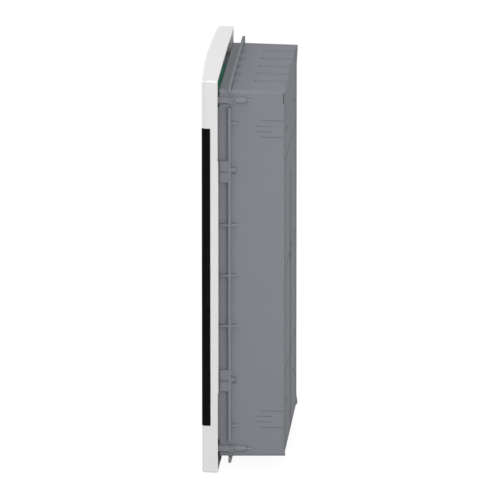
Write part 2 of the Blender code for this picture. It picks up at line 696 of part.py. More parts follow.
# Door catch: a sprung tongue through a slot in the cover face
NOSE_TIP = right - DOOR_SKIN - NIB - 0.4 * MM
stem = 1.1 * MM
barrel = 2.2 * MM
tongue = [(CATCH_X - stem, CATCH_Y - 1.5 * MM), (CATCH_X + stem, CATCH_Y - 1.5 * MM)]
tongue += [
    (CATCH_X + stem, DOOR_BACK - 2.5 * MM),
    (NOSE_TIP, DOOR_BACK - 2.9 * MM),
    (NOSE_TIP, DOOR_BACK - 3.4 * MM),
    (CATCH_X + stem, DOOR_BACK - 6.0 * MM),
    (CATCH_X - stem, DOOR_BACK - 6.0 * MM),
]
catch_at = (CATCH_X, CATCH_Y, 0.0)
wide = CATCH_SLOT - 3 * SEAT
catch = make("catch_tongue", prism(tongue, -wide, wide, "Z"), WHITE, 0.4, 0.0, catch_at)
long = CATCH_SLOT - 1.5 * SEAT
add(catch, [rod(barrel, -long, long, catch_at, "Z", 20)], "barrel")
cut(catch, [rod(CATCH_PIN_R + PIN_FIT, -2 * long, 2 * long, catch_at, "Z", 16)], "bore")
half_pin = CATCH_SLOT + EAR_T - SEAT
make("catch_pin", rod(CATCH_PIN_R, -half_pin, half_pin, catch_at, "Z", 16), ZINC, 0.3, 1.0)


# Screws
FIX_SCREW_R = 1.5 * MM
FIX_HEAD = (3.4 * MM, 2.2 * MM)
CHASSIS_HEAD = (3.6 * MM, 2.2 * MM)
COVER_HEAD = (3.9 * MM, 2.4 * MM)
CLAMP_HEAD = (2.8 * MM, 1.8 * MM)


def screw(name, at, seat, head, shank_r, length, point, sides):
    """A screw that points into the wall: rounded head in front of its seat, shank behind."""
    head_r, head_t = head
    profile = [
        (head_r * 0.72, seat - head_t),
        (head_r, seat - head_t * 0.55),
        (head_r, seat),
        (shank_r, seat),
        (shank_r, seat + length - point),
        (shank_r * 0.12, seat + length),
    ]
    return make(name, turned(profile, at, "Y", sides), ZINC, 0.35, 1.0)


n = 0
for sz in (1, -1):
    for sx in (1, -1):
        n += 1
        at = (sx * SCREW_X, 0.0, SCREW_Z[sz])
        seat = CUP_FLOOR - SEAT
        tip = TONGUE_END + 5.9 * MM
        long_screw = screw(f"cover_screw_{n}", at, seat, COVER_HEAD, COVER_SCREW_R, tip - seat, 6.0 * MM, 14)
        groove = box(
            (at[0] - 3.0 * MM, seat - 4 * MM, at[2] - 0.5 * MM),
            (at[0] + 3.0 * MM, seat - 1.2 * MM, at[2] + 0.5 * MM),
        )
        cut(long_screw, [groove], "slot")


# Chassis uprights
def upright(name, s):
    x1 = UPRIGHT_X
    x0 = UPRIGHT_X - UPRIGHT_FLANGE
    outline = [
        (s * x1, UPRIGHT_FRONT),
        (s * x0, UPRIGHT_FRONT),
        (s * x0, UPRIGHT_FRONT + SHEET),
        (s * (x1 - SHEET), UPRIGHT_FRONT + SHEET),
        (s * (x1 - SHEET), UPRIGHT_BACK - SHEET),
        (s * x0, UPRIGHT_BACK - SHEET),
        (s * x0, UPRIGHT_BACK),
        (s * x1, UPRIGHT_BACK),
    ]
    bar = make(name, prism(outline, -UPRIGHT_Z, UPRIGHT_Z, "Z"), ZINC, 0.35, 1.0)
    drill = []
    mid = (UPRIGHT_FRONT + UPRIGHT_BACK) / 2
    for z in ROW_Z + [SUPPORT_Z, -SUPPORT_Z]:
        drill.append(rod(FIX_SCREW_R + SCREW_FIT, UPRIGHT_FRONT - MM, mid, (s * FIX_X, 0.0, z), "Y", 10))
    for z in (CHASSIS_Z, -CHASSIS_Z):
        at = (s * FIX_X, 0.0, z)
        drill.append(rod(CHASSIS_HEAD[0] + MM, UPRIGHT_FRONT - MM, mid - MM, at, "Y", 14))
        drill.append(rod(CHASSIS_SCREW_R + SCREW_FIT, mid + MM, UPRIGHT_BACK + MM, at, "Y", 10))
    cut(bar, drill, "holes")


upright("upright_left", -1)
upright("upright_right", 1)
n = 0
for sz in (1, -1):
    for sx in (1, -1):
        n += 1
        at = (sx * FIX_X, 0.0, sz * CHASSIS_Z)
        seat = UPRIGHT_BACK - SHEET - SEAT
        length = PILLAR_TOP - seat + PILLAR - 2 * MM
        screw(f"chassis_screw_{n}", at, seat, CHASSIS_HEAD, CHASSIS_SCREW_R, length, 1.5 * MM, 10)

# Rails
RAIL_HALF = HALF_W - 6.0 * MM
n = 0
for i, z in enumerate(ROW_Z):
    y0 = RAIL_FRONT
    profile = [
        (y0, z + 17.5 * MM),
        (y0, z + 12.5 * MM),
        (y0 + RAIL_DEEP - RAIL_T, z + 12.5 * MM),
        (y0 + RAIL_DEEP - RAIL_T, z - 12.5 * MM),
        (y0, z - 12.5 * MM),
        (y0, z - 17.5 * MM),
        (y0 + RAIL_T, z - 17.5 * MM),
        (y0 + RAIL_T, z - 13.5 * MM),
        (y0 + RAIL_DEEP, z - 13.5 * MM),
        (y0 + RAIL_DEEP, z + 13.5 * MM),
        (y0 + RAIL_T, z + 13.5 * MM),
        (y0 + RAIL_T, z + 17.5 * MM),
    ]
    rail = make(f"din_rail_{i + 1}", prism(profile, -RAIL_HALF, RAIL_HALF, "X"), ZINC, 0.3, 1.0)
    slots = []
    each_side = int((FIX_X - 14 * MM) / RAIL_SLOT_PITCH)
    for k in range(-each_side, each_side + 1):
        ring = []
        for cx, a0 in ((4.9 * MM, -90), (-4.9 * MM, 90)):
            for j in range(5):
                a = math.radians(a0 + 180 * j / 4)
                ring.append((k * RAIL_SLOT_PITCH + cx + 2.6 * MM * math.cos(a), z + 2.6 * MM * math.sin(a)))
        slots.append(prism(ring, RAIL_BACK - 3 * MM, RAIL_BACK + MM, "Y"))
    for sx in (1, -1):
        at = (sx * FIX_X, 0.0, z)
        slots.append(rod(FIX_SCREW_R + SCREW_FIT, RAIL_BACK - 3 * MM, RAIL_BACK + MM, at, "Y", 10))
    cut(rail, slots, "slots")
    for sx in (1, -1):
        n += 1
        at = (sx * FIX_X, 0.0, z)
        seat = RAIL_BACK - RAIL_T - SEAT
        screw(f"rail_screw_{n}", at, seat, FIX_HEAD, FIX_SCREW_R, 7.5 * MM, 1.5 * MM, 10)

# Terminal supports, carriers, bars and clamp screws
SUPPORT_FRONT = RAIL_BACK - SHEET
n = 0
for name, s in (("terminal_support_top", 1), ("terminal_support_bottom", -1)):
    z = s * SUPPORT_Z
    lo = (-UPRIGHT_X + 4 * MM, SUPPORT_FRONT, z - 7 * MM)
    hi = (UPRIGHT_X - 4 * MM, RAIL_BACK, z + 7 * MM)
    plate = make(name, box(lo, hi), ZINC, 0.35, 1.0)
    drill = []
    for sx in (1, -1):
        at = (sx * FIX_X, 0.0, z)
        drill.append(rod(FIX_SCREW_R + SCREW_FIT, SUPPORT_FRONT - MM, RAIL_BACK + MM, at, "Y", 10))
    cut(plate, drill, "holes")
    for sx in (1, -1):
        n += 1
        at = (sx * FIX_X, 0.0, z)
        seat = SUPPORT_FRONT - SEAT
        screw(f"support_screw_{n}", at, seat, FIX_HEAD, FIX_SCREW_R, 8.0 * MM, 1.5 * MM, 10)

CARRIER_TOP = HALF_H - BOX_WALL - 1.9 * MM
CARRIER_END = HALF_W - 9.0 * MM
CARRIER_FRONT = Y_WALL - 14.0 * MM
CARRIER_BACK = Y_WALL + 12.0 * MM
BAR = 9.0 * MM
WIRE_HOLE_R = 2.2 * MM
LEG_W = 12.0 * MM


def terminal(kind, s, colour):
    """A carrier under the end wall with a brass bar; s is +1 at the top right, -1 at the bottom left."""
    t = CARRIER_TOP
    back_in = CARRIER_BACK - 3 * MM
    section = [
        (CARRIER_FRONT, s * t),
        (CARRIER_BACK, s * t),
        (CARRIER_BACK, s * (t - 22.4 * MM)),
        (back_in, s * (t - 22.4 * MM)),
        (back_in, s * (t - 4 * MM)),
        (CARRIER_FRONT + 2.5 * MM, s * (t - 4 * MM)),
        (CARRIER_FRONT + 2.5 * MM, s * (t - 8 * MM)),
        (CARRIER_FRONT, s * (t - 8 * MM)),
    ]
    x_far = s * (CARRIER_END - CARRIER_L)
    x_pair = sorted((s * CARRIER_END, x_far))
    carrier = make(kind + "_carrier", prism(section, x_pair[0], x_pair[1], "X"), colour, 0.45)
    legs = []
    for inset in (15 * MM, CARRIER_L - 24 * MM):
        leg_x = sorted((s * (CARRIER_END - inset), s * (CARRIER_END - inset - LEG_W)))
        leg_z = sorted((s * (SUPPORT_Z - 6 * MM), s * (SUPPORT_Z + 6 * MM)))
        lo = (leg_x[0], CARRIER_BACK - 0.8 * MM, leg_z[0])
        hi = (leg_x[1], SUPPORT_FRONT - SEAT, leg_z[1])
        legs.append(box(lo, hi))
    add(carrier, legs, "legs")
    bar_back = back_in - SEAT
    bar_front = bar_back - BAR
    bar_z = sorted((s * (t - 8.4 * MM), s * (t - 8.4 * MM - BAR)))
    mid_x = s * (CARRIER_END - CARRIER_L / 2)
    half_bar = ((BAR_CLAMPS - 1) * CLAMP_PITCH + 18 * MM) / 2
    lo = (mid_x - half_bar, bar_front, bar_z[0])
    hi = (mid_x + half_bar, bar_back, bar_z[1])
    bar = make(kind + "_bar", box(lo, hi), BRASS, 0.3, 1.0)
    z = (bar_z[0] + bar_z[1]) / 2
    drill = []
    ways = []
    for k in range(BAR_CLAMPS):
        x = mid_x + (k - (BAR_CLAMPS - 1) / 2) * CLAMP_PITCH
        drill.append(rod(FIX_SCREW_R + SCREW_FIT, bar_front - MM, bar_back - 1.5 * MM, (x, 0.0, z), "Y", 8))
        at = (x, bar_back - 3.9 * MM, 0.0)
        ways.append(rod(WIRE_HOLE_R, bar_z[0] - MM, bar_z[1] + MM, at, "Z", 8))
    cut(bar, ways, "wire_holes")
    cut(bar, drill, "clamp_holes")
    for k in range(BAR_CLAMPS):
        x = mid_x + (k - (BAR_CLAMPS - 1) / 2) * CLAMP_PITCH
        name = f"{kind}_clamp_screw_{k + 1}"
        screw(name, (x, 0.0, z), bar_front - SEAT, CLAMP_HEAD, FIX_SCREW_R, 4.6 * MM, 0.6 * MM, 8)


terminal("earth", 1, GREEN)
terminal("neutral", -1, BLUE)

# Blanking plates and marking strips on the cover face
BLANK_W = 5 * MODULE_W
BLANK_LAP = 1.2 * MM
CLIP_IN = 20.0 * MM
LABEL_GAP = 3.5 * MM
LABEL_H = 11.0 * MM
LABEL_T = 1.4 * MM
for i, z in enumerate(ROW_Z):
    x0 = -WINDOW_W / 2
    x1 = x0 + BLANK_W
    lo = (x0 - BLANK_LAP, Y_LEDGE - SEAT - BLANK_LAP, z - WINDOW_H / 2 - BLANK_LAP)
    hi = (x1, Y_LEDGE - SEAT, z + WINDOW_H / 2 + BLANK_LAP)
    blank = make(f"blank_{i + 1}", box(lo, hi), WHITE, 0.4)
    lo = (x0 + 0.4 * MM, Y_LEDGE - SEAT - 0.5 * MM, z - WINDOW_H / 2 + 0.4 * MM)
    hi = (x1 - 0.4 * MM, FACE_BACK + 1.8 * MM, z + WINDOW_H / 2 - 0.4 * MM)
    clips = [box(lo, hi)]
    for s in (1, -1):
        pair = sorted((s * (WINDOW_H / 2 - 2 * MM) + z, s * (WINDOW_H / 2 + 0.8 * MM) + z))
        lo = (x0 + CLIP_IN, FACE_BACK + SEAT, pair[0])
        hi = (x1 - CLIP_IN, FACE_BACK + 1.4 * MM, pair[1])
        clips.append(box(lo, hi))
    add(blank, clips, "clips")
    lo = (-WINDOW_W / 2, Y_LEDGE - SEAT - LABEL_T, z - WINDOW_H / 2 - LABEL_GAP - LABEL_H)
    hi = (WINDOW_W / 2, Y_LEDGE - SEAT, z - WINDOW_H / 2 - LABEL_GAP)
    make(f"label_strip_{i + 1}", box(lo, hi), WHITE, 0.5)
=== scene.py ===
# %% [markdown]
# # Flush-mounting distribution enclosure
# The real object is a grey moulded box that sits in a hole in the wall, a white bowed cover that
# hides the edge of the hole, and a dark door over three rows of device windows. Rails, terminal
# bars and screws sit inside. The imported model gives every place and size, and this lesson gives
# the pieces their fine surfaces and finishes.

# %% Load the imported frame
import math

import bmesh
import bpy
import numpy as np
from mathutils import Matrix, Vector


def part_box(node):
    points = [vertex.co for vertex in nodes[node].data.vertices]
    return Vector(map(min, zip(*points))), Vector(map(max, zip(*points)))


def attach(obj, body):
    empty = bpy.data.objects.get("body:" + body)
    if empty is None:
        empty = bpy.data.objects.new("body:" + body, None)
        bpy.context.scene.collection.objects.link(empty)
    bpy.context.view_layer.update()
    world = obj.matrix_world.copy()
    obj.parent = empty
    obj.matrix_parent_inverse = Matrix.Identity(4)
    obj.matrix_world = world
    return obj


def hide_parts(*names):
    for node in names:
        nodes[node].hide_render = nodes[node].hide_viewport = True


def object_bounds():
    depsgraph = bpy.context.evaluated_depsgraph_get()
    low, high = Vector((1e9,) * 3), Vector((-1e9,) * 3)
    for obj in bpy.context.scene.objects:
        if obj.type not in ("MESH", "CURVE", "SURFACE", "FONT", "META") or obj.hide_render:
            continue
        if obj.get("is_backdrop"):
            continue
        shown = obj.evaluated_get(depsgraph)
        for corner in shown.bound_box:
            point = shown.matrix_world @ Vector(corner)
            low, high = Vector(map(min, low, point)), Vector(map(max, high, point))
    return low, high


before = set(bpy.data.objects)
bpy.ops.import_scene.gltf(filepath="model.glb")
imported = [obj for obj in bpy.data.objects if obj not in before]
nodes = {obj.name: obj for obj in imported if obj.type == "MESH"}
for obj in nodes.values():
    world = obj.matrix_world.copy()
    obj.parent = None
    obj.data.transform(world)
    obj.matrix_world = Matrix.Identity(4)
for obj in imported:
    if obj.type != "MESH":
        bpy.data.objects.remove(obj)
cad_lo, cad_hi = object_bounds()
MM = 0.001
print("nodes", len(nodes), "box", [round(v * 1000, 1) for v in cad_hi - cad_lo])

# %% [markdown]
# ## Two ways to a mesh
# A new piece starts as a grid of points worked out by numpy. Each cell of the grid becomes a face,
# cells can be left out for windows, and points that fall on each other are welded. A piece whose
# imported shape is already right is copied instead: its triangles are joined back into flat faces,
# so that a Bevel can round the edges, as a mould does.


# %% Grid of points
def cells(rows, cols, wrap_cols=False):
    """Corner numbers of every cell in a grid of points: an array of rows x columns x 4."""
    i = np.arange(rows - 1)[:, None]
    j = np.arange(cols if wrap_cols else cols - 1)[None, :]
    right = (j + 1) % cols
    corners = (i * cols + j, i * cols + right, (i + 1) * cols + right, (i + 1) * cols + j)
    return np.stack(np.broadcast_arrays(*corners), axis=-1)


print("cells in a grid of 3 x 4 points", cells(3, 4)[..., 0].size)

# %% Mesh steps
SAME_POINT = 0.002 * MM
FACES_FRONT = 0.9


def edit(obj, *steps):
    """Runs mesh steps on a piece."""
    bm = bmesh.new()
    bm.from_mesh(obj.data)
    for step in steps:
        step(bm)
    bm.to_mesh(obj.data)
    bm.free()


def weld(bm):
    """Joins points that fall on each other."""
    bmesh.ops.remove_doubles(bm, verts=bm.verts, dist=SAME_POINT)


def face_out(bm):
    """Turns the faces of a closed piece outward."""
    bmesh.ops.recalc_face_normals(bm, faces=bm.faces)


def face_front(bm):
    """Turns an open skin so that its largest face looks to the front, which is -Y."""
    face_out(bm)
    across = [face for face in bm.faces if abs(face.normal.y) > FACES_FRONT]
    if max(across, key=lambda face: face.calc_area()).normal.y > 0:
        bmesh.ops.reverse_faces(bm, faces=bm.faces)


def join_flats(bm, turn=0.4):
    """Joins faces that lie in one plane, to within a turn in degrees."""
    bmesh.ops.dissolve_limit(bm, angle_limit=math.radians(turn), verts=bm.verts, edges=bm.edges)


def join_true_flats(bm):
    """Joins only faces that are truly flat, so that a shallow bow keeps its facets."""
    join_flats(bm, turn=0.05)


print("points within", SAME_POINT / MM, "mm are welded")


# %% New objects
def new_object(name, verts, faces, *steps):
    """An object from an array of points and its faces, with doubled points welded."""
    mesh = bpy.data.meshes.new(name)
    mesh.from_pydata(np.reshape(verts, (-1, 3)).tolist(), [], faces)
    obj = bpy.data.objects.new(name, mesh)
    bpy.context.scene.collection.objects.link(obj)
    edit(obj, weld, *steps)
    return obj


def from_grid(name, grid, *steps, wrap_cols=False):
    """An object whose faces are all the cells of a grid of points."""
    faces = cells(*grid.shape[:2], wrap_cols=wrap_cols)
    return new_object(name, grid, faces.reshape(-1, 4).tolist(), *steps)


def copy_of(node, name):
    """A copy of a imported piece, with its triangles joined back into flat faces."""
    source = nodes[node].data
    verts = np.zeros(len(source.vertices) * 3)
    source.vertices.foreach_get("co", verts)
    return new_object(name, verts, [list(face.vertices) for face in source.polygons], join_flats)


print("packed points", sum(len(node.data.vertices) for node in nodes.values()))

# %% Walls and round edges
BEVEL_STEPS = 2


def settle(obj):
    """Makes the result of the modifiers the piece's own mesh."""
    graph = bpy.context.evaluated_depsgraph_get()
    mesh = bpy.data.meshes.new_from_object(obj.evaluated_get(graph))
    obj.modifiers.clear()
    obj.data = mesh


def thicken(obj, wall):
    """Gives an open skin its wall, inward from the outer face."""
    mod = obj.modifiers.new("wall", "SOLIDIFY")
    mod.thickness = wall
    mod.offset = -1.0
    mod.use_even_offset = True
    settle(obj)


def mark_edges(bm, shortest, angle):
    """Marks for rounding the edges that turn by more than the angle, and that don't end where an
    edge is shorter than shortest, because one such edge would hold back the whole Bevel."""
    crowded = {v for e in bm.edges if e.calc_length() < shortest for v in e.verts}
    weight = bm.edges.layers.float.new("bevel_weight_edge")
    for edge in bm.edges:
        free = crowded.isdisjoint(edge.verts)
        edge[weight] = float(free and edge.calc_face_angle(0.0) > math.radians(angle))


def round_edges(obj, width, shortest=0.0, angle=30.0):
    """Rounds the marked edges with a Bevel of a few steps."""
    edit(obj, lambda bm: mark_edges(bm, shortest, angle))
    mod = obj.modifiers.new("round_edges", "BEVEL")
    mod.limit_method = "WEIGHT"
    mod.width = width
    mod.segments = BEVEL_STEPS
    mod.use_clamp_overlap = not shortest
    settle(obj)


print("round edges have", BEVEL_STEPS, "steps")


# %% Joins and hand-over
def combine(obj, tools, operation):
    """Joins or cuts with other solids, which are then removed."""
    for tool in tools:
        mod = obj.modifiers.new("shape", "BOOLEAN")
        mod.operation = operation
        mod.solver = "EXACT"
        mod.object = tool
    settle(obj)
    edit(obj, weld)
    for tool in tools:
        bpy.data.objects.remove(tool)


def hand_over(obj, finish, slot, body, *replaced, smooth=38.0):
    """Shades a finished piece, gives it its finish and lets it ride on its body."""
    obj.data.shade_smooth()
    obj.data.set_sharp_from_angle(angle=math.radians(smooth))
    mod = obj.modifiers.new("even_normals", "WEIGHTED_NORMAL")
    mod.keep_sharp = True
    obj.data.materials.clear()
    obj.data.materials.append(finish)
    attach(obj, body)
    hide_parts(*replaced)
    print(obj.name, len(obj.data.polygons), "faces")


# %% [markdown]
# ## Moulded grain and drawn metal
# Two effects serve several finishes, so each is a node group. Moulded grain is the fine texture
# of a spark-eroded mould with a slow drift of tone. Drawn metal is the long faint lines that
# rolling leaves on strip steel and bar. Both read Object coordinates, in metres.

# %% Shared node groups
GRAIN_SCALES = {"Grain Scale": 900.0, "Drift Scale": 9.0}
METAL_SCALES = {"Line Scale": 1400.0, "Cloud Scale": 55.0}
DRAWN_OUT = (0.02, 1.0, 1.0)


def new_group(name, scales, outputs):
    """A node group with a number input for each scale and named outputs."""
    tree = bpy.data.node_groups.new(name, "ShaderNodeTree")
    for label, value in scales.items():
        socket = tree.interface.new_socket(label, in_out="INPUT", socket_type="NodeSocketFloat")
        socket.default_value = value
    for label in outputs:
        tree.interface.new_socket(label, in_out="OUTPUT", socket_type="NodeSocketFloat")
    return tree, tree.nodes.new("NodeGroupInput"), tree.nodes.new("NodeGroupOutput")


def noise(tree, vector, scale, detail, roughness):
    """A noise texture whose scale is a socket."""
    node = tree.nodes.new("ShaderNodeTexNoise")
    node.inputs["Detail"].default_value = detail
    node.inputs["Roughness"].default_value = roughness
    tree.links.new(vector, node.inputs["Vector"])
    tree.links.new(scale, node.inputs["Scale"])
    return node.outputs["Fac"]


def moulded_grain_group():
    """Fine grain and slow drift, both from noise in object space."""
    tree, inlet, outlet = new_group("moulded_grain", GRAIN_SCALES, ["Grain", "Drift"])
    place = tree.nodes.new("ShaderNodeTexCoord").outputs["Object"]
    grain = noise(tree, place, inlet.outputs["Grain Scale"], detail=3.0, roughness=0.6)
    drift = noise(tree, place, inlet.outputs["Drift Scale"], detail=2.0, roughness=0.5)
    tree.links.new(grain, outlet.inputs["Grain"])
    tree.links.new(drift, outlet.inputs["Drift"])
    return tree


def drawn_metal_group():
    """Noise drawn out along X into lines, and a soft cloud."""
    tree, inlet, outlet = new_group("drawn_metal", METAL_SCALES, ["Lines", "Cloud"])
    place = tree.nodes.new("ShaderNodeTexCoord").outputs["Object"]
    drawn = tree.nodes.new("ShaderNodeVectorMath")
    drawn.operation = "MULTIPLY"
    drawn.inputs[1].default_value = DRAWN_OUT
    tree.links.new(place, drawn.inputs[0])
    lines = noise(tree, drawn.outputs["Vector"], inlet.outputs["Line Scale"], detail=2.0, roughness=0.5)
    cloud = noise(tree, place, inlet.outputs["Cloud Scale"], detail=3.0, roughness=0.55)
    tree.links.new(lines, outlet.inputs["Lines"])
    tree.links.new(cloud, outlet.inputs["Cloud"])
    return tree


MOULDED_GRAIN = moulded_grain_group()
DRAWN_METAL = drawn_metal_group()
print("groups", MOULDED_GRAIN.name, DRAWN_METAL.name)

# %% [markdown]
# ## Finishes
# The cover is a satin white moulding, the box a duller grey one. The door is polished and so
# dark that it reads as black from the side. Steel parts are zinc plated, and the bars are brass.
# A finish mixes two close colours by the slow drift, and the grain works on gloss and relief,
# because one flat colour would look like paint on a screen and not like a moulding.


# %% Node helpers
def start_finish(name, group, scales):
    """A material with its Principled shader and one placed effect group."""
    mat = bpy.data.materials.new(name)
    mat.use_nodes = True
    tree = mat.node_tree
    effect = tree.nodes.new("ShaderNodeGroup")
    effect.node_tree = group
    for label, value in scales.items():
        effect.inputs[label].default_value = value
    return mat, tree, tree.nodes["Principled BSDF"], effect


def blend_colour(tree, factor, first, second, target):
    """Mixes two colours by a changing factor into a colour socket."""
    mix = tree.nodes.new("ShaderNodeMix")
    mix.data_type = "RGBA"
    mix.inputs["A"].default_value = (*first, 1.0)
    mix.inputs["B"].default_value = (*second, 1.0)
    tree.links.new(factor, mix.inputs["Factor"])
    tree.links.new(mix.outputs["Result"], target)


def ramp(tree, value, start, end, low, high):
    """Goes from low to high, in a straight line, while a changing value goes from start to end."""
    node = tree.nodes.new("ShaderNodeMapRange")
    node.inputs["From Min"].default_value = start
    node.inputs["From Max"].default_value = end
    node.inputs["To Min"].default_value = low
    node.inputs["To Max"].default_value = high
    tree.links.new(value, node.inputs["Value"])
    return node.outputs["Result"]


def reckon(tree, operation, *values):
    """A sum, a product or another operation on one or two changing values."""
    node = tree.nodes.new("ShaderNodeMath")
    node.operation = operation
    for value, socket in zip(values, node.inputs):
        tree.links.new(value, socket)
    return node.outputs["Value"]


def relief(tree, height, strength, distance, target):
    """Turns a changing height into a fine relief of the surface."""
    bump = tree.nodes.new("ShaderNodeBump")
    bump.inputs["Strength"].default_value = strength
    bump.inputs["Distance"].default_value = distance
    tree.links.new(height, bump.inputs["Height"])
    tree.links.new(bump.outputs["Normal"], target)


print("groups to place", len(bpy.data.node_groups))

# %% Plastic and metal
NOISE_SPAN = (0.3, 0.7)
GRAIN_STRENGTH = 0.35
LINE_STRENGTH = 0.2
LINE_DEPTH = 0.02 * MM


def plastic(name, light, dark, rough, grain, specular=0.5, coat=0.0):
    """A moulded plastic: two close tones, a gloss range, a grain depth, a mirror level and the
    weight of a polished skin."""
    mat, tree, skin, effect = start_finish(name, MOULDED_GRAIN, GRAIN_SCALES)
    blend_colour(tree, effect.outputs["Drift"], dark, light, skin.inputs["Base Color"])
    gloss = ramp(tree, effect.outputs["Grain"], *NOISE_SPAN, *rough)
    tree.links.new(gloss, skin.inputs["Roughness"])
    relief(tree, effect.outputs["Grain"], GRAIN_STRENGTH, grain, skin.inputs["Normal"])
    skin.inputs["Specular IOR Level"].default_value = specular
    skin.inputs["Coat Weight"].default_value = coat
    skin.inputs["Coat Roughness"].default_value = 0.15
    return mat


def metal(name, light, dark, rough):
    """A plated or drawn metal with lines along the bar and a faint cloud of tone."""
    mat, tree, skin, effect = start_finish(name, DRAWN_METAL, METAL_SCALES)
    blend_colour(tree, effect.outputs["Cloud"], dark, light, skin.inputs["Base Color"])
    gloss = ramp(tree, effect.outputs["Lines"], *NOISE_SPAN, *rough)
    tree.links.new(gloss, skin.inputs["Roughness"])
    relief(tree, effect.outputs["Lines"], LINE_STRENGTH, LINE_DEPTH, skin.inputs["Normal"])
    skin.inputs["Metallic"].default_value = 1.0
    return mat


print("gloss follows noise values in", NOISE_SPAN)

# %% Plastics
WHITE_COVER = plastic(
    "white_cover", (0.716, 0.716, 0.713), (0.692, 0.694, 0.692), (0.30, 0.40), 0.03 * MM, coat=0.8
)
GREY_BOX = plastic(
    "grey_box", (0.226, 0.233, 0.255), (0.209, 0.216, 0.237), (0.585, 0.705), 0.06 * MM, specular=0.1
)
DARK_DOOR = plastic(
    "dark_door",
    (0.0044, 0.0043, 0.0044),
    (0.0036, 0.0035, 0.0036),
    (0.1, 0.15),
    0.004 * MM,
    specular=0.03,
)
EARTH_GREEN = plastic(
    "earth_green", (0.05, 0.36, 0.22), (0.044, 0.325, 0.198), (0.42, 0.52), 0.04 * MM
)
NEUTRAL_BLUE = plastic(
    "neutral_blue", (0.03, 0.105, 0.36), (0.026, 0.092, 0.32), (0.42, 0.52), 0.04 * MM
)
LABEL_WHITE = plastic(
    "label_white", (0.68, 0.68, 0.66), (0.65, 0.65, 0.63), (0.46, 0.56), 0.02 * MM
)
print("materials", len(bpy.data.materials))

# %% Metals
ZINC = metal("zinc_plate", (0.56, 0.57, 0.59), (0.47, 0.48, 0.51), (0.32, 0.46))
SCREW_STEEL = metal("screw_steel", (0.30, 0.305, 0.315), (0.25, 0.255, 0.265), (0.56, 0.68))
BRASS = metal("drawn_brass", (0.70, 0.51, 0.23), (0.60, 0.43, 0.18), (0.26, 0.40))
print("materials", len(bpy.data.materials))

# %% [markdown]
# ## Smoked window
# The middle of the door is a smoked window, through which the device rows show faintly. Its border
# is printed black from behind, as on most such doors, so that the edges stop all light. The window
# is a rectangle with round corners: a point is outside it where its distance beyond the inner
# rectangle, which is smaller by the corner radius, is more than that radius.

# %% Smoked window
PRINT_FADE = 0.3 * MM


def smoked_window(mat, half_x, half_z, radius, smoke):
    """Alpha of the door: smoke inside a round-cornered window in the X-Z plane, one around it."""
    tree = mat.node_tree
    value = tree.nodes.new("ShaderNodeTexCoord").outputs["Object"]
    steps = [
        ("ABSOLUTE", None),
        ("MULTIPLY", (1.0, 0.0, 1.0)),
        ("SUBTRACT", (half_x - radius, 0.0, half_z - radius)),
        ("MAXIMUM", (0.0, 0.0, 0.0)),
        ("LENGTH", None),
    ]
    for operation, operand in steps:
        node = tree.nodes.new("ShaderNodeVectorMath")
        node.operation = operation
        tree.links.new(value, node.inputs[0])
        if operand:
            node.inputs[1].default_value = operand
        value = node.outputs["Value" if operation == "LENGTH" else "Vector"]
    alpha = ramp(tree, value, radius, radius + PRINT_FADE, smoke, 1.0)
    tree.links.new(alpha, tree.nodes["Principled BSDF"].inputs["Alpha"])


smoked_window(DARK_DOOR, half_x=119.0 * MM, half_z=168.0 * MM, radius=6.0 * MM, smoke=0.64)
print("smoked window in", DARK_DOOR.name)

# %% [markdown]
# ## Dull strips on the back
# Seen almost edge on, the back of the box shows broad upright strips, one down the middle and one
# along each side, where the moulding is duller than between them. Only the gloss differs, so the
# strips fade when the back is seen squarely. Roughness is raised where a point lies on the back
# and its distance from the middle line is in a strip.

# %% Dull strips
BACK_Y = np.array([-2.6, -2.4]) * MM
MIDDLE_STRIP = np.array([16.0, 20.0]) * MM
MIDDLE_TOP = np.array([96.0, 104.0]) * MM
EDGE_STRIP = np.array([72.0, 88.0]) * MM


def dull_strips(mat, extra):
    """Roughness of the back gains extra in the middle strip, which ends at the upper moulding
    line, and half of it in the edge strips; each pair of values is where a strip fades."""
    tree = mat.node_tree
    target = tree.nodes["Principled BSDF"].inputs["Roughness"]
    before = target.links[0].from_socket
    place = tree.nodes.new("ShaderNodeSeparateXYZ")
    tree.links.new(tree.nodes.new("ShaderNodeTexCoord").outputs["Object"], place.inputs["Vector"])
    across = reckon(tree, "ABSOLUTE", place.outputs["X"])
    on_back = ramp(tree, place.outputs["Y"], *BACK_Y, 0.0, 1.0)
    below = ramp(tree, place.outputs["Z"], *MIDDLE_TOP, 1.0, 0.0)
    middle = reckon(tree, "MULTIPLY", ramp(tree, across, *MIDDLE_STRIP, extra, 0.0), below)
    edge = ramp(tree, across, *EDGE_STRIP, 0.0, extra / 2)
    strips = reckon(tree, "MULTIPLY", reckon(tree, "ADD", middle, edge), on_back)
    tree.links.new(reckon(tree, "ADD", before, strips), target)


dull_strips(GREY_BOX, extra=0.2)
print("dull strips in", GREY_BOX.name)

# %% [markdown]
# ## Solids to join and to cut
# Bosses, bores and round edges are made by Booleans with three kinds of solid: a profile turned
# about a line, an outline carried straight along an axis, and a solid between two outlines. Each
# is a small grid with its ends closed, so that a Boolean always finds a sound body.

# %% Round and straight tools
ALONG_X = [2, 0, 1]
ALONG_Y = [0, 2, 1]
ALONG_Z = [0, 1, 2]


def turned(name, profile, centre, order, sides=40):
    """A round solid: (radius, depth) pairs turned through a full circle about a centre line;
    order puts (across a, across b, depth) onto x, y and z."""
    profile = np.asarray(profile)
    turn = np.linspace(0, 2 * np.pi, sides, endpoint=False)
    a = centre[0] + profile[:, :1] * np.cos(turn)
    b = centre[1] + profile[:, :1] * np.sin(turn)
    grid = np.stack([a, b, np.broadcast_to(profile[:, 1:], a.shape)], axis=-1)
    return from_grid(name, grid[..., order], face_out, wrap_cols=True)


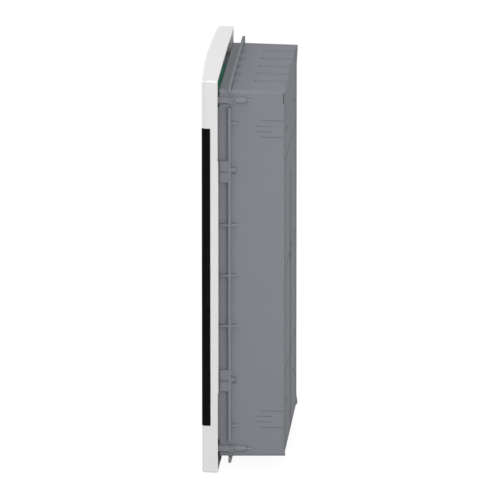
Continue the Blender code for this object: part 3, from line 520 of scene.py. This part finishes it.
def rod(name, r, low, high, centre, order):
    """A plain round bar, used to join or to bore."""
    return turned(name, [(0, low), (r, low), (r, high), (0, high)], centre, order)


def between(name, ends):
    """A solid between two closed outlines of equal count, with a face over each end."""
    count = len(ends[0])
    faces = cells(2, count, wrap_cols=True).reshape(-1, 4).tolist()
    faces += [list(range(count)), list(range(count, 2 * count))]
    return new_object(name, np.concatenate(ends), faces, face_out)


def carried(name, outline, low, high, order):
    """A closed outline carried straight from low to high."""
    outline = np.asarray(outline)
    return between(name, [np.c_[outline, np.full(len(outline), at)][:, order] for at in (low, high)])


def rectangle(a0, a1, b0, b1):
    """Four corners of a rectangle."""
    return np.array([(a0, b0), (a1, b0), (a1, b1), (a0, b1)])


def on_side(side, near, far):
    """Low and high end of a span that is mirrored to one side of the middle."""
    return sorted((side * near, side * far))


print("a span mirrored below the middle", on_side(-1, 2, 3))

# %% [markdown]
# ## Recess box
# The box is one grey moulding. It could be drawn anew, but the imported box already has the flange,
# ribs, knock-out lines, screw tongues and feet, so a copy of it is finished. The long corners are
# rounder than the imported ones: a solid as long as the edge, a square corner less a quarter circle,
# takes the rest away. Behind the flange, beside each split rib, a short block stands over a small
# pocket in the wall, and a narrow gap runs under each screw boss. All other edges get a small
# radius, because a real moulding has no knife edges.

# %% Long corners of the box
BOX_X = 116.0 * MM
BOX_Z = 225.5 * MM
EDGE_R = 3.6 * MM
CUT_SPARE = 0.02 * MM
DRAFT = 1.0 * MM
DRAFT_FROM = -63.9 * MM
DRAFT_RUN = 62.7 * MM
COLLAR_Y = (-77.4 * MM, -67.5 * MM)
WALL_Y = (-63.6 * MM, MM)


def corner_cut(side_x, side_z, low, high):
    """What a round edge takes off a square corner, from low to high in depth; the corner leans in
    by the draft over its length behind the flange."""
    turn = np.radians(np.linspace(0, 90, 9))
    arc = EDGE_R * np.stack([np.cos(turn), np.sin(turn)], axis=-1) - EDGE_R - CUT_SPARE
    outline = np.r_[arc, [(-EDGE_R, MM), (MM, MM), (MM, -EDGE_R)]]
    ends = []
    for y in (low, high):
        lean = DRAFT * max(0.0, y - DRAFT_FROM) / DRAFT_RUN
        x = side_x * (BOX_X - lean + outline[:, 0])
        z = side_z * (BOX_Z - lean + outline[:, 1])
        ends.append(np.c_[x, np.full(len(x), y), z])
    return between("corner_cut", ends)


recess_box = copy_of("back_box", "recess_box")
spans = (COLLAR_Y, WALL_Y)
cuts = [corner_cut(sx, sz, *span) for sx in (1, -1) for sz in (1, -1) for span in spans]
combine(recess_box, cuts, "DIFFERENCE")
print("box with round corners", len(recess_box.data.polygons), "faces")

# %% Blocks, pockets and gaps
BLOCK_X = np.array([-1.6, 4.6]) * MM
BLOCK_Y = np.array([-64.4, -57.8]) * MM
BLOCK_SPANS = np.array([(127.1, 131.5), (-130.1, -127.1)]) * MM
POCKET_X = np.array([-1.3, 1.0]) * MM
POCKET_Y = np.array([-63.3, -58.4]) * MM
POCKET_SPANS = np.array([(123.0, 127.4), (-134.8, -129.8)]) * MM
GAP_X = np.array([-1.9, 8.0]) * MM
GAP_Y = np.array([-79.0, -67.9]) * MM
screws_z = [sum(corner.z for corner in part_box(f"cover_screw_{n}")) / 2 for n in (1, 3)]
GAP_SPANS = np.add.outer(screws_z, np.array([-4.5, -2.9]) * MM)


def on_wall(name, side, reach, y, spans):
    """Upright solids on one side wall: a rectangle in plan, with its reach counted outward from
    the wall, carried over each span of heights."""
    outline = rectangle(side * (BOX_X + reach[0]), side * (BOX_X + reach[1]), *y)
    return [carried(name, outline, low, high, ALONG_Z) for low, high in spans]


blocks = []
hollows = []
for side in (1, -1):
    blocks += on_wall("block", side, BLOCK_X, BLOCK_Y, BLOCK_SPANS)
    hollows += on_wall("pocket", side, POCKET_X, POCKET_Y, POCKET_SPANS)
    hollows += on_wall("gap", side, GAP_X, GAP_Y, GAP_SPANS)
combine(recess_box, hollows, "DIFFERENCE")
combine(recess_box, blocks, "UNION")
edit(recess_box, join_flats)
round_edges(recess_box, 0.18 * MM, 0.5 * MM)
hand_over(recess_box, GREY_BOX, "box_grey", "enclosure", "back_box")

# %% [markdown]
# ## Sizes of the cover
# The cover is one moulding: two bowed ends, and between them a flat face set back for the door.
# Its sides lean out a little towards the wall, so that it leaves the mould. The measures come
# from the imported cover, and the bow is a shallow parabola across the width.

# %% Cover sizes
cover_lo, cover_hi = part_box("front_cover")
COVER_X = cover_hi.x
COVER_Z = cover_hi.z
RIM_Y = cover_hi.y
BOW = 4.1 * MM
EDGE_Y = cover_lo.y + BOW
LEDGE_Y = RIM_Y - 9.4 * MM
SHOULDER_Z = 182.7 * MM
CORNER_R = 5.0 * MM
SKIN = 2.4 * MM
LEAN = math.tan(math.radians(1.6))
LEAN_FROM = 112.0 * MM
LEAN_RUN = 18.0 * MM


def front_y(x):
    """Depth of the bowed front: the edge depth less a parabola that is highest at mid width."""
    return EDGE_Y - BOW * (1 - (np.asarray(x) / COVER_X) ** 2)


def lean_sides(points, sides=(-1, 1)):
    """Moves points near the sides inward by the lean times their distance from the wall."""
    moved = points.copy()
    reach = np.clip((np.abs(points[..., 0]) - LEAN_FROM) / LEAN_RUN, 0, 1)
    reach = np.where(np.isin(np.sign(points[..., 0]), sides), reach, 0)
    moved[..., 0] -= np.sign(points[..., 0]) * reach * LEAN * (RIM_Y - points[..., 1])
    return moved


print("cover", round(COVER_X * 2000, 1), "x", round(COVER_Z * 2000, 1), "mm")

# %% [markdown]
# ## Cover skin
# The skin is one grid. A column runs from bottom to top, and a row is the outline seen from above:
# back edge, side, round corner, bow and back again. Two rows at one height make a step, such as
# the shoulder above the door. Windows and the catch slot are cells left out. Solidify then gives
# the wall its thickness, and a Bevel breaks the edges. A block with its inside cut away would also
# do, but a grid keeps the bow and its corners in even strips, which shade smoothly.

# %% Outline of the cover
WINDOW_X = 109.0 * MM
WINDOW_HALF = 23.0 * MM
ROWS_Z = np.array([-125.0, 0.0, 125.0]) * MM
CATCH_X0 = 122.4 * MM
CATCH_X1 = 130.6 * MM
CATCH_HALF = 6.3 * MM
SHORT_RIM_Y = RIM_Y - 0.8 * MM
SMALLEST_R = 0.8 * MM
slot_turn = math.acos((CATCH_X1 - COVER_X + CORNER_R) / CORNER_R)
TURN = np.r_[np.linspace(0, slot_turn, 9), math.pi / 2]
BOW_X = np.r_[CATCH_X0, 116.0 * MM, WINDOW_X, np.linspace(96.0, 0.0, 9) * MM]


def cover_row(z, inset=0.0, slab=False, rim=SHORT_RIM_Y):
    """One outline at height z: side, quarter circle, bow, then the same mirrored; a slab row is
    cut flat at the ledge."""
    side = COVER_X - inset
    r = max(CORNER_R - inset, SMALLEST_R)
    arc_x = side - r + r * np.cos(TURN)
    arc_y = front_y(side - r) + inset + r - r * np.sin(TURN)
    half_x = np.r_[side, side, side, arc_x, BOW_X]
    half_y = np.r_[rim, SHORT_RIM_Y, LEDGE_Y, arc_y, front_y(BOW_X) + inset]
    x = np.r_[half_x, -half_x[-2::-1]]
    y = np.r_[half_y, half_y[-2::-1]]
    if slab:
        y = np.maximum(y, LEDGE_Y)
    return np.stack([x, y, np.full_like(x, z)], axis=-1)


print("points in an outline", len(cover_row(0.0)))

# %% Cover grid
TOP_R = 2.6 * MM
LONG_RIM_Z = 142.0 * MM
SAME_DEPTH = 0.01 * MM


def cover_grid():
    """All outlines from the bottom face to the top face: rows x columns x 3."""
    lift = np.radians(np.linspace(0, 90, 7))
    inset = TOP_R * (1 - np.cos(lift))
    height = COVER_Z - TOP_R + TOP_R * np.sin(lift)
    cap = [cover_row(SHOULDER_Z)]
    cap += [cover_row(z, i) for z, i in zip(height, inset)]
    levels = (0.0, CATCH_HALF, WINDOW_HALF, ROWS_Z[2] - WINDOW_HALF, LONG_RIM_Z)
    face = [cover_row(z, slab=True, rim=RIM_Y) for z in levels]
    face += [cover_row(z, slab=True) for z in (LONG_RIM_Z, ROWS_Z[2] + WINDOW_HALF, SHOULDER_Z)]
    upper = np.stack(face + cap)
    lower = upper[:0:-1] * (1, 1, -1)
    return np.concatenate([lower, upper])


def cover_faces(grid):
    """Grid cells without the three windows and the catch slot, and one flat face at each end."""
    rows, cols = grid.shape[:2]
    square = cells(rows, cols)
    x, y, z = np.moveaxis(grid.reshape(-1, 3)[square].mean(axis=2), -1, 0)
    flat = np.abs(y - LEDGE_Y) < SAME_DEPTH
    row_gap = np.abs(z[..., None] - ROWS_Z).min(axis=-1)
    window = flat & (np.abs(x) < WINDOW_X) & (row_gap < WINDOW_HALF)
    slot = flat & (x > CATCH_X0) & (x < CATCH_X1) & (np.abs(z) < CATCH_HALF)
    ends = np.arange(cols)
    return square[~(window | slot)].tolist() + [ends.tolist(), (ends + (rows - 1) * cols).tolist()]


skin_grid = cover_grid()
cover = new_object("cover", lean_sides(skin_grid), cover_faces(skin_grid), face_front, join_true_flats)
thicken(cover, SKIN)
round_edges(cover, 0.3 * MM, 0.6 * MM)
print("cover skin", len(cover.data.polygons), "faces")

# %% [markdown]
# ## Screw cups, hinge tubes and catch ears
# Behind each corner of the cover stands a post with a cup, where a long screw is sunk. A tube
# behind each shoulder takes a hinge pin, and two ears behind the slot hold the pin of the catch.
# They are joined to the skin and bored by Booleans, as the mould core forms them.

# %% Posts and cups
CUP_FLOOR = EDGE_Y + 6.8 * MM
CUP_R = 4.4 * MM
POST_R = 5.5 * MM
POST_END = RIM_Y - 2.6 * MM
BORE_R = 2.0 * MM
SUNK = 1.4 * MM
front = cover_lo.y - MM
behind = RIM_Y + MM
cup = [(0, front), (CUP_R, front), (CUP_R, CUP_FLOOR)]
cup += [(BORE_R, CUP_FLOOR), (BORE_R, behind), (0, behind)]
added = []
bored = []
for n in range(1, 5):
    lo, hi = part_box(f"cover_screw_{n}")
    spot = ((lo.x + hi.x) / 2, (lo.z + hi.z) / 2)
    root = float(front_y(spot[0])) + SUNK
    added.append(rod("post", POST_R, root, POST_END, spot, ALONG_Y))
    bored.append(turned("cup", cup, spot, ALONG_Y))
print("posts", len(added), "cups", len(bored))

# %% Tubes and ears
TUBE_R = 4.25 * MM
PIN_BORE = 1.8 * MM
EAR_HALF = 4.0 * MM
EAR_END = 2.6 * MM
EAR_BORE = 1.2 * MM
pin_lo, pin_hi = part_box("hinge_pin_top")
HINGE = ((pin_lo.x + pin_hi.x) / 2, (pin_lo.y + pin_hi.y) / 2)
pin_lo, pin_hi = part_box("catch_pin")
CATCH = ((pin_lo.x + pin_hi.x) / 2, (pin_lo.y + pin_hi.y) / 2)
ear = rectangle(CATCH[0] - EAR_HALF, CATCH[0] + EAR_HALF, LEDGE_Y + SUNK, CATCH[1] + EAR_END)
for side in (1, -1):
    tube = on_side(side, SHOULDER_Z + 0.8 * MM, SHOULDER_Z + 10 * MM)
    added.append(rod("tube", TUBE_R, *tube, HINGE, ALONG_Z))
    bore = on_side(side, SHOULDER_Z - MM, SHOULDER_Z + 9 * MM)
    bored.append(rod("tube_bore", PIN_BORE, *bore, HINGE, ALONG_Z))
    beside = on_side(side, CATCH_HALF + 0.4 * MM, CATCH_HALF + 3 * MM)
    added.append(carried("ear", ear, *beside, ALONG_Z))
bored.append(rod("ear_bore", EAR_BORE, -2 * CATCH_HALF, 2 * CATCH_HALF, CATCH, ALONG_Z))
combine(cover, added, "UNION")
combine(cover, bored, "DIFFERENCE")
hand_over(cover, WHITE_COVER, "cover_white", "enclosure", "front_cover")

# %% [markdown]
# ## Door
# The door is a bowed sheet with a flat return on the right and a half-round edge on the left,
# where it turns. Its outline is carried up the height, and a smooth dent in the return makes the
# finger grip. The inner side is the same outline moved in by the thickness, so that outer and
# inner side are one closed ring. Solidify would give the same wall, but the ring lets the dent
# press both sides alike. End walls, hinge knuckles and a nib are joined to it.

# %% Door outline
door_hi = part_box("door")[1]
DOOR_Z = door_hi.z
DOOR_BACK = door_hi.y
HINGE_R = (DOOR_BACK - EDGE_Y) / 2
GRIP_LIP = 2.4 * MM
GRIP_SLOPE = 1.6 * MM
GRIP_FADE = np.radians([32, 62])
BOW_END = HINGE[0] + 3.0 * MM


def smooth_step(value, start, end):
    """Rises from 0 to 1 between start and end with a flat slope at both."""
    t = np.clip((value - start) / (end - start), 0, 1)
    return t * t * (3 - 2 * t)


def door_outline():
    """Plan of the door: straight return, quarter circle, bow and half circle, as x, y and the
    share of the grip's depth that pushes each point in."""
    lip = np.linspace(0, GRIP_LIP, 3)
    slope = GRIP_LIP + np.linspace(0, GRIP_SLOPE, 9)[1:]
    back = DOOR_BACK - np.r_[lip, slope]
    turn = np.radians(np.linspace(0, 90, 16))
    bow_x = np.linspace(COVER_X - CORNER_R, BOW_END, 50)[1:]
    curl = np.radians(np.linspace(-90, -270, 25))
    corner_y = front_y(COVER_X - CORNER_R) + CORNER_R
    x = np.r_[np.full(len(back), COVER_X), COVER_X - CORNER_R + CORNER_R * np.cos(turn)]
    y = np.r_[back, corner_y - CORNER_R * np.sin(turn)]
    x = np.r_[x, bow_x, HINGE[0] + HINGE_R * np.cos(curl)]
    y = np.r_[y, front_y(bow_x), HINGE[1] + HINGE_R * np.sin(curl)]
    rising = smooth_step(DOOR_BACK - back, GRIP_LIP, GRIP_LIP + GRIP_SLOPE)
    fading = 1 - smooth_step(turn, *GRIP_FADE)
    return x, y, np.r_[rising, fading, np.zeros(len(bow_x) + len(curl))]


print("door", round(DOOR_Z * 2000, 1), "mm high, hinge radius", round(HINGE_R * 1000, 2))

# %% Door sheet
GRIP_HALF = 37.0 * MM
GRIP_END = 3.5 * MM
GRIP_DEEP = 1.3 * MM
PLAIN_Z = np.r_[np.linspace(0, 32, 9), np.linspace(33, 38.5, 12), np.linspace(46, 180, 16)] * MM


def inner_side(x, y, wall):
    """The outline moved inward by the wall, along the mean of the two neighbouring normals."""
    normal = np.stack([np.diff(y), -np.diff(x)], axis=-1)
    normal /= np.linalg.norm(normal, axis=-1, keepdims=True)
    before = np.concatenate([normal[:1], normal])
    after = np.concatenate([normal, normal[-1:]])
    move = wall * (before + after) / (1 + (before * after).sum(axis=-1, keepdims=True))
    return x + move[:, 0], y + move[:, 1]


def door_grid():
    """The outline and its inner side as one closed ring, at every height, dented by the grip."""
    x, y, push = door_outline()
    inner_x, inner_y = inner_side(x, y, SKIN)
    ring_x = np.r_[x, inner_x[::-1]]
    ring_y = np.r_[y, inner_y[::-1]]
    z = np.r_[PLAIN_Z, DOOR_Z]
    z = np.r_[-z[:0:-1], z]
    held = 1 - smooth_step(np.abs(z), GRIP_HALF - GRIP_END, GRIP_HALF)
    dent = GRIP_DEEP * held[:, None] * np.r_[push, push[::-1]]
    wide_x, high_z = np.meshgrid(ring_x, z)
    return np.stack([wide_x - dent, np.broadcast_to(ring_y, wide_x.shape), high_z], axis=-1)


def door_faces(grid):
    """All cells round the ring, and at each end a strip from the outer to the inner side."""
    rows, cols = grid.shape[:2]
    i = np.arange(cols // 2 - 1)
    strip = np.stack([i, i + 1, cols - 2 - i, cols - 1 - i], axis=-1)
    ends = np.concatenate([strip, strip + (rows - 1) * cols])
    return np.concatenate([cells(rows, cols, wrap_cols=True).reshape(-1, 4), ends]).tolist()


sheet = lean_sides(door_grid(), (1,))
door_leaf = new_object("dark_leaf", sheet, door_faces(sheet), face_out)
round_edges(door_leaf, 0.35 * MM, angle=40.0)
print("door sheet", len(door_leaf.data.polygons), "faces")

# %% End walls, knuckles and nib
HALF_SKIN = 1.2 * MM
WALL_BACK = EDGE_Y + 6.0 * MM
WALL_END = HINGE[0] + MM
KNUCKLE = 14 * MM
KNUCKLE_BORE = 12 * MM
NIB_HALF = 5.0 * MM
wall_x = np.linspace(COVER_X - CORNER_R, WALL_END, 40)
end_wall = np.c_[wall_x, front_y(wall_x) + HALF_SKIN]
end_wall = np.r_[[(COVER_X - HALF_SKIN, WALL_BACK)], end_wall, [(WALL_END, WALL_BACK)]]
nib = rectangle(COVER_X - 4.3 * MM, COVER_X - HALF_SKIN, DOOR_BACK - 2.1 * MM, DOOR_BACK - 0.5 * MM)
added = [carried("nib", nib, -NIB_HALF, NIB_HALF, ALONG_Z)]
bored = []
for side in (1, -1):
    wall = on_side(side, DOOR_Z - SKIN, DOOR_Z - 0.05 * MM)
    added.append(carried("end_wall", end_wall, *wall, ALONG_Z))
    knuckle = on_side(side, DOOR_Z - KNUCKLE, DOOR_Z - 0.1 * MM)
    added.append(rod("knuckle", HINGE_R - 0.1 * MM, *knuckle, HINGE, ALONG_Z))
    bore = on_side(side, DOOR_Z - KNUCKLE_BORE, DOOR_Z + MM)
    bored.append(rod("knuckle_bore", PIN_BORE, *bore, HINGE, ALONG_Z))
combine(door_leaf, added, "UNION")
combine(door_leaf, bored, "DIFFERENCE")
hand_over(door_leaf, DARK_DOOR, "door_smoke", "door_leaf", "door")

# %% [markdown]
# ## Screws
# A screw is a turned shape with a cross recess. Rings of points run from the middle of the recess
# over the head and down the shank to the tip. The angles of each ring are bunched to the edges of
# the recess, so that its walls are straight, and no Boolean is needed for so many small pieces.
# The long cover screws get a thread, because their tips show behind the flange.

# %% Screw rings
RECESS_REACH = 0.62
RECESS_DEEP = 0.62
SLOT_HALF = 0.16
CROWN_DROP = 0.45
CROWN_POWER = 2.6


def screw_rings(seat, head_r, head_t, shank_r, tip, point, step):
    """Radius of every ring, its depth on the lands of the head and its depth in the recess; the
    head drops with a power of the radius, and the point narrows with the square of its length."""
    reach = RECESS_REACH * head_r
    inner = SLOT_HALF * head_r * math.sqrt(2)
    top = seat - head_t
    floor = top + RECESS_DEEP * head_t
    rim = np.linspace(reach, head_r, 6)[1:]
    crown = top + CROWN_DROP * head_t * (np.r_[inner, reach, reach, rim] / head_r) ** CROWN_POWER
    run = np.linspace(seat, tip - point, max(2, int((tip - point - seat) / step)))
    taper = np.linspace(0, 1, max(4, int(point / step)))[1:]
    shank_y = np.r_[run, tip - point + point * taper]
    r = np.r_[0, inner, inner, reach, reach, rim, head_r]
    r = np.r_[r, np.full(len(run), shank_r), shank_r * (1 - taper**2)]
    high = np.r_[floor, floor, crown, seat, shank_y]
    low = np.r_[floor, floor, floor, floor, crown[2:], seat, shank_y]
    return r, high, low


def screw_angles(r, head_r):
    """Angles of the points on each ring: in every quarter three across the slot, whose half angle
    is asin(half width / radius), and six over the land beside it."""
    w = SLOT_HALF * head_r
    half = np.arcsin(np.minimum(w / np.maximum(r, w), math.sqrt(0.5)))
    half[4:] = half[3]
    slot = half[:, None] * np.array([-1.0, 0.0, 1.0])
    land = half[:, None] + (np.pi / 2 - 2 * half[:, None]) * np.linspace(0, 1, 6)
    return np.concatenate([np.c_[slot, land] + q * np.pi / 2 for q in range(4)], axis=1)


print("points on a ring", screw_angles(np.ones(5), 1.0).shape[1])

# %% All screws
THREAD_DEEP = 0.24
THREAD_FROM = 2 * MM
THREAD_FULL = 4 * MM
FINE_STEP = 0.2 * MM
PLAIN_STEP = 20 * MM


def make_screw(node, head_t, shank_r, point, pitch=0.0, finish=ZINC):
    """A detailed screw in the place of a packed one; a thread takes a triangle wave of depth over
    pitch less turn off the radius."""
    lo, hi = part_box(node)
    head_r = (hi.z - lo.z) / 2
    seat = lo.y + head_t
    step = FINE_STEP if pitch else PLAIN_STEP
    r, high, low = screw_rings(seat, head_r, head_t, shank_r, hi.y, point, step)
    turn = screw_angles(r, head_r)
    on_land = np.tile(np.arange(9) > 2, 4)
    y = np.where(on_land, high[:, None], low[:, None])
    radius = np.broadcast_to(r[:, None], y.shape)
    if pitch:
        wave = np.abs(2 * ((y / pitch - turn / (2 * np.pi)) % 1.0) - 1)
        grown = smooth_step(y, seat + THREAD_FROM, seat + THREAD_FULL)
        radius = radius * (1 - THREAD_DEEP * wave * grown)
    mid_x = (lo.x + hi.x) / 2
    mid_z = (lo.z + hi.z) / 2
    grid = np.stack([mid_x + radius * np.cos(turn), y, mid_z + radius * np.sin(turn)], axis=-1)
    obj = from_grid(node + "_turned", grid, face_out, wrap_cols=True)
    hand_over(obj, finish, "zinc_steel", "enclosure", node, smooth=50.0)


for n in range(1, 5):
    make_screw(f"cover_screw_{n}", 2.4 * MM, 1.9 * MM, 6.0 * MM, 1.2 * MM, SCREW_STEEL)
    make_screw(f"chassis_screw_{n}", 2.2 * MM, 1.3 * MM, 1.5 * MM)
    make_screw(f"support_screw_{n}", 2.2 * MM, 1.5 * MM, 1.5 * MM)
for n in range(1, 7):
    make_screw(f"rail_screw_{n}", 2.2 * MM, 1.5 * MM, 1.5 * MM)
for n in range(1, 9):
    make_screw(f"earth_clamp_screw_{n}", 1.8 * MM, 1.5 * MM, 0.6 * MM)
    make_screw(f"neutral_clamp_screw_{n}", 1.8 * MM, 1.5 * MM, 0.6 * MM)

# %% [markdown]
# ## Blanking plates and marking strips
# A blanking plate closes the unused part of a window. It is moulded with a groove at every half
# module, so that it can be snapped to length. A marking strip is a shallow channel with a lip
# along each edge. Each is an outline carried straight along the row, as if it were extruded.

# %% Blanking plates
HALF_MODULE = 9.0 * MM
GROOVE = 0.4 * MM
GROOVE_DEEP = 0.9 * GROOVE
PLATE = 1.2 * MM
PLAY = 0.4 * MM
CLIP_IN = 20 * MM
for n in (1, 2, 3):
    lo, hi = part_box(f"blank_{n}")
    row_z = ROWS_Z[3 - n]
    seat = lo.y + PLATE
    marks = np.arange(-WINDOW_X + HALF_MODULE, hi.x - MM, HALF_MODULE)
    groove_x = np.stack([marks - GROOVE, marks, marks + GROOVE], axis=-1).ravel()
    groove_y = np.tile([lo.y, lo.y + GROOVE_DEEP, lo.y], len(marks))
    x = np.r_[lo.x, groove_x, hi.x, hi.x, lo.x]
    y = np.r_[lo.y, groove_y, lo.y, seat, seat]
    plate = carried(f"blanking_plate_{n}", np.c_[x, y], lo.z, hi.z, ALONG_Z)
    plug = rectangle(-WINDOW_X + PLAY, hi.x - PLAY, seat - 0.5 * MM, hi.y)
    inside = WINDOW_HALF - PLAY
    added = [carried("plug", plug, row_z - inside, row_z + inside, ALONG_Z)]
    clip = rectangle(-WINDOW_X + CLIP_IN, hi.x - CLIP_IN, hi.y - 1.5 * MM, hi.y - 0.4 * MM)
    for side in (1, -1):
        low, high = on_side(side, WINDOW_HALF - 2 * MM, WINDOW_HALF + 0.8 * MM)
        added.append(carried("clip", clip, row_z + low, row_z + high, ALONG_Z))
    combine(plate, added, "UNION")
    hand_over(plate, WHITE_COVER, "cover_white", "enclosure", f"blank_{n}", smooth=20.0)

# %% Marking strips
LIP = np.r_[0.0, 1.0, 1.5] * MM
CHANNEL = 0.5 * MM
for n in (1, 2, 3):
    lo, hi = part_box(f"label_strip_{n}")
    z = np.r_[lo.z + LIP, hi.z - LIP[::-1], hi.z, lo.z]
    y = lo.y + np.r_[0, 0, CHANNEL, CHANNEL, 0, 0, hi.y - lo.y, hi.y - lo.y]
    strip = carried(f"marking_strip_{n}", np.c_[y, z], lo.x, hi.x, ALONG_X)
    round_edges(strip, 0.2 * MM)
    hand_over(strip, LABEL_WHITE, "label_white", "enclosure", f"label_strip_{n}")

# %% [markdown]
# ## Chassis, rails and terminals
# The uprights, rails, terminal supports, carriers and bars are plain bent, rolled or moulded parts,
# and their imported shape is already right. Each is copied, and gets the small edge radius that
# bending, rolling or moulding leaves.


# %% Copies with softened edges
def soften(node, width, finish, slot, body="enclosure"):
    """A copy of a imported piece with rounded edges."""
    piece = copy_of(node, node + "_soft")
    round_edges(piece, width * MM, 2.2 * width * MM)
    hand_over(piece, finish, slot, body, node)


for name in ("upright_left", "upright_right", "terminal_support_top", "terminal_support_bottom"):
    soften(name, 0.3, ZINC, "zinc_steel")
for name in ("din_rail_1", "din_rail_2", "din_rail_3"):
    soften(name, 0.25, ZINC, "zinc_steel")
for name in ("hinge_pin_top", "hinge_pin_bottom", "catch_pin"):
    soften(name, 0.25, ZINC, "zinc_steel")
soften("earth_bar", 0.3, BRASS, "bar_brass")
soften("neutral_bar", 0.3, BRASS, "bar_brass")
soften("earth_carrier", 0.3, EARTH_GREEN, "earth_green")
soften("neutral_carrier", 0.3, NEUTRAL_BLUE, "neutral_blue")
soften("catch_tongue", 0.2, WHITE_COVER, "cover_white", "catch")

# %% [markdown]
# ## Floor and background
# The photograph has a plain white ground. The floor is pale for the light that it throws back, and
# what the camera or a mirror sees of it is lifted to white, while it keeps the object's shadow.
# Light Path tells the two apart, both on the floor and in the world. More light on the object
# would also whiten the ground, but it would wash out the object's own colours.


# %% Floor
def seen_directly(tree):
    """One where a camera, mirror or glass ray looks, zero for scattered light."""
    path = tree.nodes.new("ShaderNodeLightPath")
    found = path.outputs["Is Camera Ray"]
    for label in ("Is Glossy Ray", "Is Transmission Ray"):
        found = reckon(tree, "MAXIMUM", found, path.outputs[label])
    return found


def pale_floor():
    """A pale matt floor that looks white where it is seen, less its shadows."""
    mat = bpy.data.materials.new("pale_floor")
    mat.use_nodes = True
    tree = mat.node_tree
    tree.nodes.clear()
    plain = tree.nodes.new("ShaderNodeBsdfDiffuse")
    plain.inputs["Color"].default_value = (0.65, 0.65, 0.65, 1.0)
    shade = tree.nodes.new("ShaderNodeBsdfDiffuse")
    shade.inputs["Color"].default_value = (0.12, 0.12, 0.12, 1.0)
    glow = tree.nodes.new("ShaderNodeEmission")
    glow.inputs["Strength"].default_value = 0.94
    lifted = tree.nodes.new("ShaderNodeAddShader")
    tree.links.new(shade.outputs["BSDF"], lifted.inputs[0])
    tree.links.new(glow.outputs["Emission"], lifted.inputs[1])
    mix = tree.nodes.new("ShaderNodeMixShader")
    tree.links.new(seen_directly(tree), mix.inputs["Fac"])
    tree.links.new(plain.outputs["BSDF"], mix.inputs[1])
    tree.links.new(lifted.outputs["Shader"], mix.inputs[2])
    out = tree.nodes.new("ShaderNodeOutputMaterial")
    tree.links.new(mix.outputs["Shader"], out.inputs["Surface"])
    return mat


FLOOR_HALF = 8.0
FLOOR_GAP = 0.5 * MM
floor_z = cad_lo.z - FLOOR_GAP
corners = np.c_[rectangle(-FLOOR_HALF, FLOOR_HALF, -FLOOR_HALF, FLOOR_HALF), np.full(4, floor_z)]
floor = new_object("floor", corners, [[0, 1, 2, 3]])
floor.data.materials.append(pale_floor())
floor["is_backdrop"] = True
print("floor at", round(floor_z * 1000, 1), "mm")

# %% Surroundings
ROOM_LIGHT = 0.40
world = bpy.data.worlds.new("studio")
bpy.context.scene.world = world
world.use_nodes = True
tree = world.node_tree
level = ramp(tree, seen_directly(tree), 0.0, 1.0, ROOM_LIGHT, 1.0)
tree.links.new(level, tree.nodes["Background"].inputs["Strength"])
tree.nodes["Background"].inputs["Color"].default_value = (1.0, 1.0, 1.0, 1.0)
print("room light", ROOM_LIGHT)

# %% [markdown]
# ## Lamps
# Four soft round lamps stand round the object. The key faces the visible side, so that it reaches
# into the recess behind the cover. The overhead lamp is smaller, and puts the bright line on the
# rounded top edge of the cover. Each lamp's power follows from the light it should add.


# %% Lamps
def lamp(name, place, size, share):
    """A round lamp that adds its share of white light to a face square to it."""
    place = Vector(place)
    aim = (cad_lo + cad_hi) / 2
    data = bpy.data.lights.new(name, "AREA")
    data.shape = "DISK"
    data.size = size
    data.energy = share * math.pi**2 * (place - aim).length_squared
    obj = bpy.data.objects.new(name, data)
    obj.location = place
    obj.rotation_mode = "QUATERNION"
    obj.rotation_quaternion = (aim - place).to_track_quat("-Z", "Y")
    bpy.context.scene.collection.objects.link(obj)
    print(name, round(data.energy, 1), "W")


lamp("key", (2.9, 0.25, 1.2), 2.0, 0.27)
lamp("overhead", (0.5, -0.2, 2.4), 0.7, 0.27)
lamp("back_fill", (2.4, 1.3, 0.7), 1.6, 0.25)
lamp("front_fill", (-0.8, -2.9, 0.85), 1.8, 0.56)

# %% [markdown]
# ## Camera
# The photograph was taken with a long lens from the object's right, a little from behind and from
# above. The angles, the distance and the aim were fitted to corners that both pictures show.

# %% Camera
AZIMUTH = math.radians(93.96)
ELEVATION = math.radians(15.30)
DISTANCE = 12.465
LENS = 749.6
MIDDLE = Vector((0.0, -0.050, 0.0))
AIM_RIGHT = 0.295 * MM
AIM_DOWN = 1.607 * MM
level_run = math.cos(ELEVATION)
back = Vector((math.sin(AZIMUTH) * level_run, -math.cos(AZIMUTH) * level_run, math.sin(ELEVATION)))
right = Vector((math.cos(AZIMUTH), math.sin(AZIMUTH), 0.0))
aim = MIDDLE + right * AIM_RIGHT - back.cross(right) * AIM_DOWN
camera_data = bpy.data.cameras.new("camera")
camera_data.lens = LENS
camera_data.sensor_width = 36.0
camera_data.clip_end = 100.0
camera = bpy.data.objects.new("camera", camera_data)
camera.location = aim + back * DISTANCE
camera.rotation_mode = "QUATERNION"
camera.rotation_quaternion = (-back).to_track_quat("-Z", "Y")
bpy.context.scene.collection.objects.link(camera)
bpy.context.scene.camera = camera
bpy.context.scene.view_settings.view_transform = "Standard"
print("camera at", [round(v, 3) for v in camera.location])

# %% Sizes and finish
lo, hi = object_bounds()
print("visual box", [round(v * 1000, 2) for v in hi - lo])
